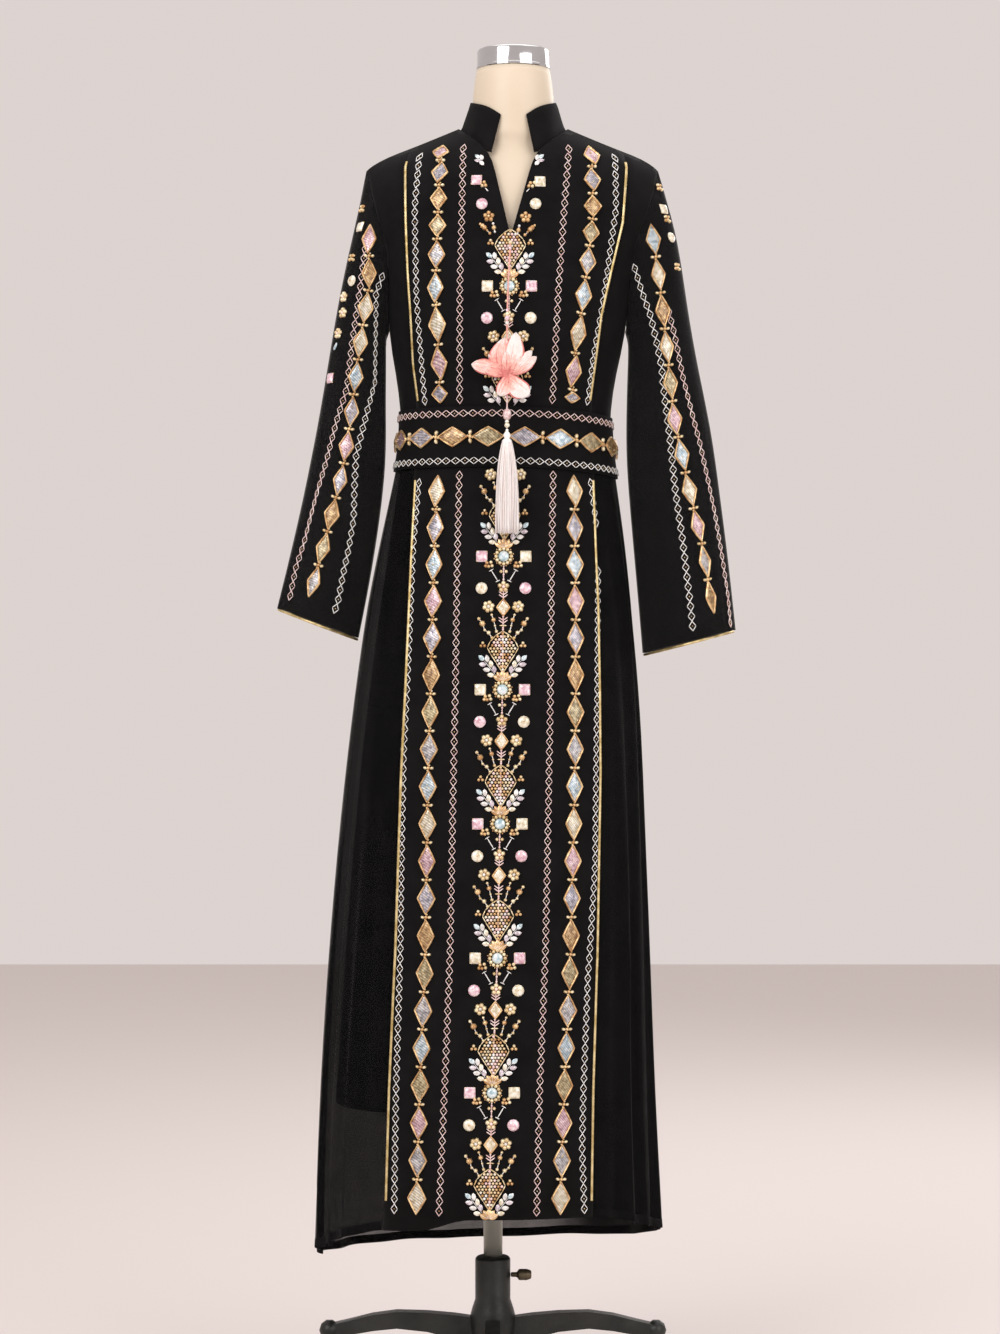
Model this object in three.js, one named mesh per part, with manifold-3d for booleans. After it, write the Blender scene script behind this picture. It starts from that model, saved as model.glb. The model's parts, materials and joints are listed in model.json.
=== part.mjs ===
import * as THREE from 'three';
import { mergeVertices } from 'three/addons/utils/BufferGeometryUtils.js';
import Module from 'manifold-3d';

// A long black abaya with bell sleeves, on a limbless dress form with a pole and a four-legged base.
// Millimetres, +Z up, -Y is the front, +X is the right side of the picture, the floor is at z = 0.

// Heights of the garment
const WAIST_SEAM = 1210;
const BELT_LOW = 1173;
const BELT_HIGH = 1247;
const UNDERARM = 1344;
const SHOULDER_START = 1480;
const V_LOW = 1453;
const V_HIGH = 1559;
const V_HALF = 27;
const NECK_SIDE = { x: 68, z: 1600 };
const NECK_DIP = 8;

// Cloth, seams, and the room that the inner layers and the belt leave
const CHIFFON = 1.5;
const FACED = 2;
const SEAM = 0.3;
const LIFT = 0.7;
const APPLIQUE = 1.8;
const LAYER_GAP = 1.8;
const BELT_GAP = 1.6;
const BELT_DIP = { drop: 9, at: 150 };
const SOFT_OVAL = 0.92;

// The middle line of the garment leans to the right as it rises.
const MIDDLE = [
  { z: 0, x: -8 }, { z: 262, x: -4.5 }, { z: 418, x: -0.6 }, { z: 579, x: 5.9 },
  { z: 900, x: 11.9 }, { z: 1063, x: 13.6 }, { z: 1391, x: 20.4 }, { z: 1700, x: 28 },
];

// Outline of the bodice and skirt: reach from the middle line to each side, the front and the back.
const BODY = [
  { z: 170, left: 208, right: 212, front: 166, back: 200 },
  { z: 372, left: 208, right: 199, front: 161, back: 193 },
  { z: 460, left: 206, right: 190, front: 158, back: 188 },
  { z: 622, left: 204, right: 183, front: 152, back: 176 },
  { z: 731, left: 195, right: 177, front: 146, back: 165 },
  { z: 815, left: 188, right: 173, front: 142, back: 155 },
  { z: 962, left: 173, right: 165, front: 132, back: 135 },
  { z: 1080, left: 154, right: 152, front: 118, back: 112 },
  { z: BELT_LOW, left: 137, right: 136, front: 104, back: 93 },
  { z: WAIST_SEAM, left: 131, right: 130, front: 100, back: 88 },
  { z: BELT_HIGH, left: 132, right: 129, front: 102, back: 90 },
  { z: 1290, left: 138, right: 134, front: 112, back: 95 },
  { z: UNDERARM, left: 150, right: 147, front: 121, back: 100 },
  { z: 1400, left: 158, right: 157, front: 118, back: 100 },
  { z: 1440, left: 167, right: 167, front: 112, back: 99 },
  { z: SHOULDER_START, left: 178, right: 180, front: 104, back: 95 },
  { z: 1560, left: 186, right: 188, front: 104, back: 95 },
];
const ROUNDNESS = 2.2;

// Top edge of the shoulders, by the distance from the middle line
const SHOULDER = [
  { x: 0, z: 1636 }, { x: NECK_SIDE.x, z: NECK_SIDE.z }, { x: 116, z: 1580 },
  { x: 168, z: 1560 }, { x: 180, z: 1550 }, { x: 190, z: 1536 },
];
const SHOULDER_SEAM_Y = -6;
const TIP = { x: 182, z: 1548 };

// Gold piping, and the chains of diamonds beside it, by their distance from the middle line
const PIPE = {
  inset: 2.5,
  half: 1.6,
  thick: 2.4,
  bodice: [1256, 1300, UNDERARM, 1398, V_LOW, SHOULDER_START, 1505, 1530, 1552],
  skirt: [285, 400, 560, 700, 830, 960, 1060, 1110, 1158],
};
const PIPING = [
  { z: 230, left: 127, right: 126 }, { z: 560, left: 126, right: 123 }, { z: 800, left: 123, right: 123 },
  { z: 1000, left: 117, right: 118 }, { z: BELT_LOW, left: 112, right: 109 },
  { z: BELT_HIGH, left: 110, right: 103 }, { z: 1300, left: 118, right: 109 },
  { z: 1358, left: 122, right: 115 }, { z: 1413, left: 127, right: 126 }, { z: 1474, left: 131, right: 139 },
  { z: 1545, left: 134, right: 143 }, { z: 1577, left: 128, right: 138 },
];
const DIAMOND_LINE = [
  { z: 250, left: 87, right: 85 }, { z: 560, left: 86.5, right: 87.5 }, { z: 800, left: 87.5, right: 89 },
  { z: 1000, left: 85, right: 87.5 }, { z: 1160, left: 82.7, right: 83.7 }, { z: 1255, left: 81.5, right: 79 },
  { z: 1300, left: 83, right: 80 }, { z: 1390, left: 89.5, right: 91 }, { z: 1480, left: 89, right: 99.5 },
  { z: 1575, left: 88, right: 96.5 },
];

// The hem hangs level at the front and lower at the sides and back: angle from the front, + to the right.
const HEM = [
  { angle: -180, z: 180 }, { angle: -120, z: 184 }, { angle: -90, z: 196 }, { angle: -60, z: 230 },
  { angle: -38, z: 249 }, { angle: -18, z: 251 }, { angle: -9, z: 266 }, { angle: 40, z: 266 },
  { angle: 52, z: 256 }, { angle: 90, z: 226 }, { angle: 125, z: 198 }, { angle: 180, z: 180 },
];
const LINING = { top: 1201, hem: 388, inset: 10 };

// Soft folds of the skirt: place across its panel from 0 to 1, half its width there, and its rise at the hem
const SIDE_FOLDS = [
  { at: 0.1, half: 0.1, rise: 6 }, { at: 0.31, half: 0.11, rise: 12 }, { at: 0.53, half: 0.11, rise: 9 },
  { at: 0.73, half: 0.09, rise: 13 }, { at: 0.91, half: 0.09, rise: 7 },
];
const BACK_FOLDS = [
  { at: 0.07, half: 0.07, rise: 9 }, { at: 0.21, half: 0.07, rise: 14 }, { at: 0.36, half: 0.08, rise: 10 },
  { at: 0.51, half: 0.07, rise: 15 }, { at: 0.65, half: 0.07, rise: 9 }, { at: 0.79, half: 0.07, rise: 13 },
  { at: 0.93, half: 0.07, rise: 8 },
];

// Sleeves: each row is a section, with the outer and inner edge in x, their heights, and its middle and
// depth in y.
const SLEEVE_LEFT = [
  { outer: -173, inner: -134, zOuter: 1475, zInner: 1328, y: -4, deep: 60 },
  { outer: -190, inner: -134, zOuter: 1400, zInner: 1290, y: -6, deep: 58 },
  { outer: -203, inner: -135, zOuter: 1316, zInner: 1246, y: -8, deep: 55 },
  { outer: -217, inner: -134, zOuter: 1226, zInner: 1184, y: -10, deep: 55 },
  { outer: -234, inner: -142, zOuter: 1140, zInner: 1110, y: -12, deep: 58 },
  { outer: -252, inner: -155, zOuter: 1062, zInner: 1030, y: -14, deep: 62 },
  { outer: -267, inner: -168, zOuter: 1002, zInner: 965, y: -16, deep: 66 },
];
const SLEEVE_RIGHT = [
  { outer: 229, inner: 170, zOuter: 1475, zInner: 1328, y: -4, deep: 60 },
  { outer: 239, inner: 169, zOuter: 1400, zInner: 1290, y: -6, deep: 58 },
  { outer: 251, inner: 168, zOuter: 1316, zInner: 1246, y: -8, deep: 55 },
  { outer: 270, inner: 168, zOuter: 1226, zInner: 1184, y: -10, deep: 55 },
  { outer: 281, inner: 174, zOuter: 1140, zInner: 1110, y: -12, deep: 58 },
  { outer: 291, inner: 182, zOuter: 1062, zInner: 1020, y: -14, deep: 62 },
  { outer: 300, inner: 188, zOuter: 975, zInner: 946, y: -16, deep: 66 },
];
const SLEEVE_WAVES = 5;
const SLEEVE_WAVE_RISE = 5;
const ARMHOLE_ANGLE = 28;

// Chains of diamonds of bead work: each diamond takes a share of its repeat, and a narrow bead link the rest
const DIAMOND = { share: 0.84, waist: 4 };
const CHAINS = {
  bodice: { from: 1262, to: 1560, repeats: 9, wide: 21 },
  skirt: { from: 268, to: 1166, repeats: 20, wide: 22 },
  sleeve: { repeats: 11, wide: 19 },
};
const SLEEVE_CHAIN_LEFT = [
  { x: -152, z: 1478 }, { x: -152, z: 1400 }, { x: -165, z: 1312 }, { x: -175, z: 1230 },
  { x: -184, z: 1170 }, { x: -202, z: 1096 }, { x: -224, z: 1012 },
];
const SLEEVE_CHAIN_RIGHT = [
  { x: 195, z: 1478 }, { x: 205, z: 1400 }, { x: 214, z: 1320 }, { x: 222, z: 1240 },
  { x: 237, z: 1165 }, { x: 256, z: 1080 }, { x: 270, z: 992 },
];

// Middle ornament: half its width at each distance below the middle of its round stone
const ORNAMENT = [
  { down: -12, half: 1.6 }, { down: -9, half: 9 }, { down: 0, half: 12 }, { down: 9, half: 9 },
  { down: 12, half: 1.6 }, { down: 29, half: 1.6 }, { down: 33, half: 7 }, { down: 40, half: 7 },
  { down: 44, half: 1.6 }, { down: 52, half: 1.6 }, { down: 62, half: 8 }, { down: 72, half: 1.6 },
  { down: 89, half: 1.6 }, { down: 95, half: 11 }, { down: 109, half: 18.5 }, { down: 125, half: 13 },
  { down: 138, half: 2 }, { down: 143, half: 12 }, { down: 148, half: 12 },
];
const STONES_SKIRT = [1063, 901.5, 740, 579, 418];
const STONES_BODICE = [1391, 1552];

// Dress form: reach of the torso to the side, front and back under the shoulders
const FORM = [
  { z: 868, side: 118, front: 82, back: 86 }, { z: 884, side: 138, front: 98, back: 104 },
  { z: 970, side: 150, front: 108, back: 114 }, { z: 1080, side: 136, front: 100, back: 94 },
  { z: 1172, side: 122, front: 90, back: 78 }, { z: 1212, side: 119, front: 88, back: 76 },
  { z: 1290, side: 126, front: 100, back: 83 }, { z: UNDERARM, side: 138, front: 110, back: 89 },
  { z: 1400, side: 147, front: 107, back: 89 }, { z: 1440, side: 154, front: 100, back: 88 },
  { z: SHOULDER_START, side: 160, front: 92, back: 84 },
];
const FORM_SHOULDERS = [1508, 1530, 1548, 1562, 1575];
const FORM_INSET = 7;
const NECK = [
  { z: 1588, side: 56, front: 56, back: 50 }, { z: 1600, side: 51.3, front: 51.3, back: 51.3 },
  { z: 1640, side: 51.3, front: 51.3, back: 51.3 }, { z: 1672, side: 46, front: 46, back: 46 },
];
const NECK_Y = -12;
const COLLAR = { top: 54, topBack: 1638, topFront: 1609, frontAngle: 17 };
const CAP = { radius: 46, low: 1672.4, side: 21, high: 26 };

// Stand
const POLE = { radius: 12, low: 194, high: 867.6, x: 0.3 };
const HUB = { radius: 22, low: 70, high: 193.6 };
const LEG = { reach: 204, wide: 18, knob: 13, knobHeight: 101, foot: 15 };
const SCREW = { z: 170, radius: 7, length: 26 };

// Pendant: it hangs from the V neck, clear of the belt, and each petal has its angle from upright.
const PENDANT_Y = -133;
const THREAD = 0.9;
const THREAD_TOP = 1446;
const LOTUS = { x: 17.5, z: 1272, thick: 2.4 };
const PETALS = [
  { angle: 0, long: 50, wide: 22 }, { angle: -21, long: 63, wide: 30 }, { angle: 16, long: 64, wide: 30 },
  { angle: -58, long: 51, wide: 20 }, { angle: 35, long: 52, wide: 20 }, { angle: 47, long: 49, wide: 18 },
  { angle: -98, long: 34, wide: 18 }, { angle: 88, long: 32, wide: 18 }, { angle: -145, long: 21, wide: 15 },
  { angle: 138, long: 22, wide: 15 },
];
const TASSEL = { top: 1217, head: 4.6, bottom: 1090, rootSpread: 1.25, endSpread: 4.6, squash: 0.62 };
const STRANDS = [{ ring: 0, count: 1 }, { ring: 1, count: 6 }, { ring: 2, count: 11 }, { ring: 3, count: 16 }];

const COLOURS = {
  chiffon: 0x141414, faced: 0x1a1819, gold: 0xd6be78, bead: 0xc9964f, ivory: 0xe8d2b4,
  chrome: 0xc8ccd0, steel: 0x8c8a7d, iron: 0x2d2e2c, blush: 0xf4beb4, thread: 0xfaebe8,
};

const wasm = await Module();
wasm.setup();
const model = new THREE.Group();

// Value of a column at a place in a table, in a straight line between its rows
function read(table, key, value, column) {
  let k = 1;
  while (k < table.length - 1 && table[k][key] < value) k += 1;
  const a = table[k - 1];
  const b = table[k];
  const t = THREE.MathUtils.clamp((value - a[key]) / (b[key] - a[key]), 0, 1);
  return a[column] + (b[column] - a[column]) * t;
}

const middle = z => read(MIDDLE, 'z', z, 'x');
const radians = THREE.MathUtils.degToRad;
const power = (v, p) => Math.sign(v) * Math.abs(v) ** p;
const range = n => Array.from({ length: n + 1 }, (_, i) => i / n);

// A point of the body outline: angle in degrees from the front, out is moved outwards
function bodyPoint(z, angle, out = 0) {
  const s = power(Math.sin(radians(angle)), 2 / ROUNDNESS);
  const c = power(Math.cos(radians(angle)), 2 / ROUNDNESS);
  const side = read(BODY, 'z', z, s < 0 ? 'left' : 'right') + out;
  const deep = read(BODY, 'z', z, c > 0 ? 'front' : 'back') + out;
  return new THREE.Vector3(middle(z) + side * s, -deep * c, z);
}

// Depth of the body at a distance from the middle line; over the shoulder it rounds to the shoulder seam.
function bodyDepth(x, z, face) {
  const low = Math.min(z, SHOULDER_START);
  const side = read(BODY, 'z', low, x < 0 ? 'left' : 'right') + (z > low ? 6 : 0);
  const flat = read(BODY, 'z', low, face);
  const share = Math.min(Math.abs(x) / side, 1);
  const y = (face === 'front' ? -1 : 1) * flat * (1 - share ** ROUNDNESS) ** (1 / ROUNDNESS);
  if (z <= SHOULDER_START) return y;
  const top = read(SHOULDER, 'x', Math.abs(x), 'z');
  const rise = Math.min((z - SHOULDER_START) / (top - SHOULDER_START), 1);
  return SHOULDER_SEAM_Y + (y - SHOULDER_SEAM_Y) * (1 - rise ** 1.7) ** 0.6;
}

const angleAt = (x, side) => THREE.MathUtils.radToDeg(Math.asin((Math.abs(x) / side) ** (ROUNDNESS / 2)));

function addMesh(name, positions, colour, roughness, metalness) {
  const geometry = new THREE.BufferGeometry();
  geometry.setAttribute('position', new THREE.Float32BufferAttribute(positions, 3));
  const merged = mergeVertices(geometry, 1e-3);
  merged.computeVertexNormals();
  const mesh = new THREE.Mesh(merged, new THREE.MeshStandardMaterial({ color: colour, roughness, metalness }));
  mesh.name = name;
  model.add(mesh);
  return mesh;
}

// Cloth: open sheets that share points at their seams, so that their walls share one thickness direction
class Cloth {
  constructor() {
    this.points = [];
    this.index = new Map();
    this.panels = new Map();
  }

  point(p) {
    const key = [p.x, p.y, p.z].map(v => Math.round(v * 100)).join();
    if (!this.index.has(key)) {
      this.index.set(key, this.points.length);
      this.points.push(p.clone());
    }
    return this.index.get(key);
  }

  // Rows of points, each row running to the right as seen from outside, rows going up
  grid(name, rows) {
    const faces = this.panels.get(name) ?? [];
    const ids = rows.map(row => row.map(p => this.point(p)));
    for (let r = 0; r + 1 < ids.length; r += 1) {
      for (let c = 0; c + 1 < ids[r].length; c += 1) {
        const [a, b, d, e] = [ids[r][c], ids[r][c + 1], ids[r + 1][c + 1], ids[r + 1][c]];
        for (const face of [[a, b, d], [a, d, e]]) {
          if (new Set(face).size === 3) faces.push(face);
        }
      }
    }
    this.panels.set(name, faces);
  }

  normals() {
    const sums = this.points.map(() => new THREE.Vector3());
    for (const faces of this.panels.values()) {
      for (const [a, b, c] of faces) {
        const n = new THREE.Vector3().crossVectors(
          this.points[b].clone().sub(this.points[a]),
          this.points[c].clone().sub(this.points[a]),
        );
        for (const i of [a, b, c]) sums[i].add(n);
      }
    }
    return sums.map(n => n.normalize());
  }

  // Closed wall of one panel, drawn back at its edges by half a seam
  wall(name, thickness, colour, roughness = 0.9) {
    const normals = this.normals();
    const faces = this.panels.get(name);
    const edges = new Map();
    for (const [a, b, c] of faces) {
      for (const [p, q] of [[a, b], [b, c], [c, a]]) {
        if (edges.has(`${q},${p}`)) edges.delete(`${q},${p}`);
        else edges.set(`${p},${q}`, [p, q]);
      }
    }
    const inward = new Map();
    for (const [p, q] of edges.values()) {
      const along = this.points[q].clone().sub(this.points[p]).normalize();
      for (const i of [p, q]) {
        const way = new THREE.Vector3().crossVectors(normals[i], along).normalize();
        inward.set(i, (inward.get(i) ?? new THREE.Vector3()).add(way));
      }
    }
    const outer = i => {
      const p = this.points[i].clone();
      if (inward.has(i)) p.addScaledVector(inward.get(i).clone().normalize(), SEAM * 0.6);
      return p;
    };
    const inner = i => outer(i).addScaledVector(normals[i], -thickness);
    const out = [];
    const push = (...points) => points.forEach(p => out.push(p.x, p.y, p.z));
    for (const [a, b, c] of faces) {
      push(outer(a), outer(b), outer(c));
      push(inner(a), inner(c), inner(b));
    }
    for (const [p, q] of edges.values()) {
      push(outer(q), outer(p), inner(p));
      push(outer(q), inner(p), inner(q));
    }
    return addMesh(name, out, colour, roughness, 0);
  }
}

// Bodice: half of the front is a grid from the V neck to the piping and one on to the side seam or armhole.
const bodice = new Cloth();
const ACROSS_FRONT = [0, 0.16, 0.32, 0.56, 0.86, 1];
const ACROSS_SIDE = [0.33, 0.67, 1];
const LOW_ROWS = [WAIST_SEAM + SEAM, BELT_HIGH, 1295, UNDERARM, 1398, V_LOW, SHOULDER_START];
const V_SHARE = (V_HIGH - SHOULDER_START) / (NECK_SIDE.z - SHOULDER_START);
const SHOULDER_ROWS = [0.25, 0.46, V_SHARE, 0.85, 1];

function neckEdge(z) {
  if (z <= V_LOW) return 0;
  if (z <= V_HIGH) return (V_HALF * (z - V_LOW)) / (V_HIGH - V_LOW);
  return V_HALF + ((NECK_SIDE.x - V_HALF) * (z - V_HIGH)) / (NECK_SIDE.z - V_HIGH);
}

function armholeAngle(z) {
  const t = THREE.MathUtils.clamp((z - UNDERARM) / (TIP.z - UNDERARM), 0, 1);
  return 90 - ARMHOLE_ANGLE * Math.sin(Math.PI * t);
}

// The armhole edge in x for a row, as a distance from the middle line
function armholeX(z, column) {
  const side = read(BODY, 'z', Math.min(z, SHOULDER_START), column);
  return Math.min(side * power(Math.sin(radians(armholeAngle(z))), 2 / ROUNDNESS), TIP.x);
}

function bodicePoint(x, z, face, column) {
  return new THREE.Vector3(middle(z) + x, bodyDepth(x, z, face), z);
}

for (const [hand, column] of [[-1, 'left'], [1, 'right']]) {
  const frontRows = [];
  const sideRows = [];
  const backRows = [];
  const heights = [...LOW_ROWS, ...SHOULDER_ROWS.map(r => -r)];
  for (const h of heights) {
    const over = h < 0 ? -h : 0;
    const shoulderZ = x => {
      const top = x < NECK_SIDE.x ? NECK_SIDE.z : read(SHOULDER, 'x', x, 'z');
      return SHOULDER_START + over * (top - SHOULDER_START);
    };
    const rowZ = x => (over ? shoulderZ(x) : h);
    const neckX = neckEdge(rowZ(0));
    const pipeX = read(PIPING, 'z', rowZ(120), column);
    const lastZ = over ? Math.min(shoulderZ(TIP.x), TIP.z) : h;
    const armX = over === 1 ? TIP.x : armholeX(lastZ, column);
    const atX = (x, z, face) => bodicePoint(hand * x, z, face, column);
    const xs = ACROSS_FRONT.map(u => neckX + (pipeX - neckX) * u);
    const from = angleAt(pipeX, armX);
    for (const u of ACROSS_SIDE) {
      xs.push(u === 1 ? armX : armX * Math.sin(radians(from + (90 - from) * u)) ** (2 / ROUNDNESS));
    }
    const heightAt = x => (over && x === armX ? lastZ : rowZ(x));
    const whole = xs.map(x => atX(x, heightAt(x), 'front'));
    const front = whole.slice(0, ACROSS_FRONT.length);
    const side = whole.slice(ACROSS_FRONT.length - 1);
    const neckDip = x => NECK_DIP * over * (1 - (x / NECK_SIDE.x) ** 2);
    const back = xs.map(x => atX(x, heightAt(x), 'back')).reverse();
    for (const share of [0.66, 0.33, 0]) {
      const x = neckX * share;
      back.push(atX(x, heightAt(x) - (x < NECK_SIDE.x ? neckDip(x) : 0), 'back'));
    }
    frontRows.push(hand > 0 ? front : front.reverse());
    sideRows.push(hand > 0 ? side : side.reverse());
    backRows.push(hand > 0 ? back : back.reverse());
  }
  bodice.grid('bodice_front', frontRows);
  bodice.grid(`bodice_side_${column}`, sideRows);
  bodice.grid('bodice_back', backRows);
}
bodice.wall('bodice_front', FACED, COLOURS.faced);
bodice.wall('bodice_side_left', CHIFFON, COLOURS.chiffon);
bodice.wall('bodice_side_right', CHIFFON, COLOURS.chiffon);
bodice.wall('bodice_back', CHIFFON, COLOURS.chiffon);

// Skirt: front panel, two sides and a back, one ring of columns with the folds raised from it
const skirt = new Cloth();
const SKIRT_ROWS = [1, 0.83, 0.64, 0.46, 0.31, 0.2, 0.115, 0.04, 0];
const foldRise = (folds, u) => folds.reduce((sum, f) => {
  const away = Math.abs(u - f.at) / f.half;
  return away < 1 ? sum + f.rise * (0.5 + 0.5 * Math.cos(Math.PI * away)) : sum;
}, 0);

// Columns at the foot, the slopes and the crest of each fold
function foldColumns(folds) {
  const places = [0, 1];
  for (const f of folds) {
    for (const step of [-1, -0.5, 0, 0.5]) places.push(THREE.MathUtils.clamp(f.at + step * f.half, 0, 1));
  }
  const sorted = [...new Set(places.map(v => v.toFixed(3)))].map(Number).sort((a, b) => a - b);
  return sorted.filter((v, i) => i === 0 || i === sorted.length - 1 || v - sorted[i - 1] > 0.012);
}

const growth = z => THREE.MathUtils.clamp((BELT_LOW - z) / (BELT_LOW - 230), 0, 1);
const pipeAngle = (z, column) => angleAt(read(PIPING, 'z', z, column), read(BODY, 'z', z, column));

// Point of a column of the skirt, share = 1 at the hem and 0 at the waist
function skirtPoint(share, angleOf, rise) {
  const hem = read(HEM, 'angle', wrap(angleOf(260)), 'z');
  const z = WAIST_SEAM - SEAM + (hem - WAIST_SEAM) * share;
  return bodyPoint(z, angleOf(z), rise * growth(z));
}

function wrap(angle) {
  return angle > 180 ? angle - 360 : angle;
}

const frontColumns = [-1, -0.86, -0.56, -0.32, -0.16, 0, 0.16, 0.32, 0.56, 0.86, 1];
skirt.grid('skirt_front', SKIRT_ROWS.map(share => frontColumns.map(u => {
  const column = u < 0 ? 'left' : 'right';
  const angleOf = z => Math.sign(u) * angleAt(u * read(PIPING, 'z', z, column), read(BODY, 'z', z, column));
  return skirtPoint(share, angleOf, 0);
})));
for (const [hand, column] of [[-1, 'left'], [1, 'right']]) {
  const rows = SKIRT_ROWS.map(share => {
    const row = foldColumns(SIDE_FOLDS).map(u => {
      const angleOf = z => hand * (pipeAngle(z, column) + (90 - pipeAngle(z, column)) * u);
      return skirtPoint(share, angleOf, foldRise(SIDE_FOLDS, u));
    });
    return hand > 0 ? row : row.reverse();
  });
  skirt.grid(`skirt_side_${column}`, rows);
}
skirt.grid('skirt_back', SKIRT_ROWS.map(share => foldColumns(BACK_FOLDS).map(u => (
  skirtPoint(share, () => 90 + 180 * u, foldRise(BACK_FOLDS, u))
))));
skirt.wall('skirt_front', FACED, COLOURS.faced);
skirt.wall('skirt_side_left', CHIFFON, COLOURS.chiffon);
skirt.wall('skirt_side_right', CHIFFON, COLOURS.chiffon);
skirt.wall('skirt_back', CHIFFON, COLOURS.chiffon);

// Lining of the skirt, one tube that ends above the hem
const lining = new Cloth();
lining.grid('skirt_lining', [1, 0.6, 0.32, 0.16, 0.04, 0].map(share => range(36).map(t => {
  const z = LINING.top + (LINING.hem - LINING.top) * share;
  const inset = FACED + LAYER_GAP + (LINING.inset - FACED) * Math.min(share * 5, 1);
  return bodyPoint(z, -180 + 360 * t, -inset);
})));
lining.wall('skirt_lining', CHIFFON, COLOURS.chiffon);

// Belt, a closed band over the waist seam that dips to the right
const belt = new Cloth();
const beltDip = x => (x > 0 ? -BELT_DIP.drop * (x / BELT_DIP.at) ** 2 : 0);
function beltPoint(z, angle, out) {
  const level = z + beltDip(bodyPoint(z, angle).x);
  return bodyPoint(level, angle, BELT_GAP + out);
}
belt.grid('belt', [BELT_LOW, WAIST_SEAM, BELT_HIGH].map(z => range(40).map(t => (
  beltPoint(z, -180 + 360 * t, FACED)
))));
belt.wall('belt', FACED, COLOURS.faced);

// Sleeves: the head takes the armhole's own edge, and the tube widens to the cuff in soft waves.
const SLEEVE_COLUMNS = 24;
function armholeLoop(hand, column) {
  const rows = [UNDERARM, 1398, V_LOW, SHOULDER_START];
  const top = read(SHOULDER, 'x', TIP.x, 'z');
  const overShoulder = r => Math.min(SHOULDER_START + r * (top - SHOULDER_START), TIP.z);
  const heights = [...rows, ...SHOULDER_ROWS.map(overShoulder)];
  const edge = face => heights.map((z, i) => {
    const x = i === heights.length - 1 ? TIP.x : armholeX(z, column);
    return bodicePoint(hand * x, z, face, column);
  });
  return { front: edge('front'), back: edge('back') };
}

// A point at a share of the length of a line of points
function alongLine(points, share) {
  const lengths = [0];
  for (let i = 1; i < points.length; i += 1) lengths.push(lengths[i - 1] + points[i].distanceTo(points[i - 1]));
  const want = share * lengths.at(-1);
  let k = 1;
  while (k < points.length - 1 && lengths[k] < want) k += 1;
  return points[k - 1].clone().lerp(points[k], (want - lengths[k - 1]) / (lengths[k] - lengths[k - 1]));
}

const sleeves = new Cloth();
for (const [hand, column, table] of [[-1, 'left', SLEEVE_LEFT], [1, 'right', SLEEVE_RIGHT]]) {
  const loop = armholeLoop(hand, column);
  const sections = [...table].reverse();
  const rows = sections.map((s, i) => range(SLEEVE_COLUMNS).map(t => {
    const angle = radians(-180 + 360 * t);
    const toCuff = 1 - i / sections.length;
    const wave = SLEEVE_WAVE_RISE * toCuff * Math.cos(SLEEVE_WAVES * angle);
    const sine = power(Math.sin(angle), SOFT_OVAL);
    const cosine = power(Math.cos(angle), SOFT_OVAL);
    const half = Math.abs(s.outer - s.inner) / 2;
    const towardsInner = 0.5 - (hand * sine) / 2;
    const x = (s.outer + s.inner) / 2 + half * sine;
    const z = s.zOuter + (s.zInner - s.zOuter) * towardsInner;
    return new THREE.Vector3(x, s.y - (s.deep + wave) * cosine, z);
  }));
  rows.push(range(SLEEVE_COLUMNS).map(t => {
    const angle = -180 + 360 * t;
    const face = Math.abs(angle) <= 90 ? 'front' : 'back';
    const share = face === 'front' ? (hand * angle + 90) / 180 : backShare(angle, hand);
    const p = alongLine(loop[face], THREE.MathUtils.clamp(share, 0, 1));
    p.x += hand * 1.2;
    return p;
  }));
  sleeves.grid(`sleeve_${column}`, rows);
}

// On the back, the share from the underarm to the tip for an angle beyond the sides
function backShare(angle, hand) {
  const fromOuter = hand > 0 ? angle : -angle;
  const turned = fromOuter > 0 ? fromOuter - 90 : fromOuter + 270;
  return 1 - turned / 180;
}
sleeves.wall('sleeve_left', CHIFFON, COLOURS.chiffon);
sleeves.wall('sleeve_right', CHIFFON, COLOURS.chiffon);

// Stand collar: it starts on the neckline, and its open front ends in two points.
const collar = new Cloth();
const neckline = hand => {
  const edge = [V_HIGH, SHOULDER_START + 0.85 * (NECK_SIDE.z - SHOULDER_START), NECK_SIDE.z].map(z => (
    bodicePoint(hand * neckEdge(z), z, 'front')
  ));
  for (const share of [0.66, 0.33, 0]) {
    const x = NECK_SIDE.x * share;
    edge.push(bodicePoint(hand * x, NECK_SIDE.z - NECK_DIP * (1 - share ** 2), 'back'));
  }
  return edge;
};
const halved = points => points.flatMap((p, i) => (i ? [points[i - 1].clone().lerp(p, 0.5), p] : [p]));
const collarBase = halved([...neckline(-1), ...neckline(1).reverse().slice(1)]);
const neckMiddle = new THREE.Vector3(middle(NECK_SIDE.z), NECK_Y, 0);
const collarRows = [0, 0.5, 1].map(share => collarBase.map((p, i) => {
  const t = i / (collarBase.length - 1);
  const angle = radians(-COLLAR.frontAngle - (360 - 2 * COLLAR.frontAngle) * t);
  const toBack = Math.sin(Math.PI * t) ** 0.55;
  const top = neckMiddle.clone().add(new THREE.Vector3(
    COLLAR.top * Math.sin(angle),
    -COLLAR.top * Math.cos(angle),
    COLLAR.topFront + (COLLAR.topBack - COLLAR.topFront) * toBack,
  ));
  return p.clone().add(new THREE.Vector3(0, 0, 0.6)).lerp(top, share);
}).reverse());
collar.grid('collar', collarRows);
collar.wall('collar', FACED, COLOURS.faced);

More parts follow.
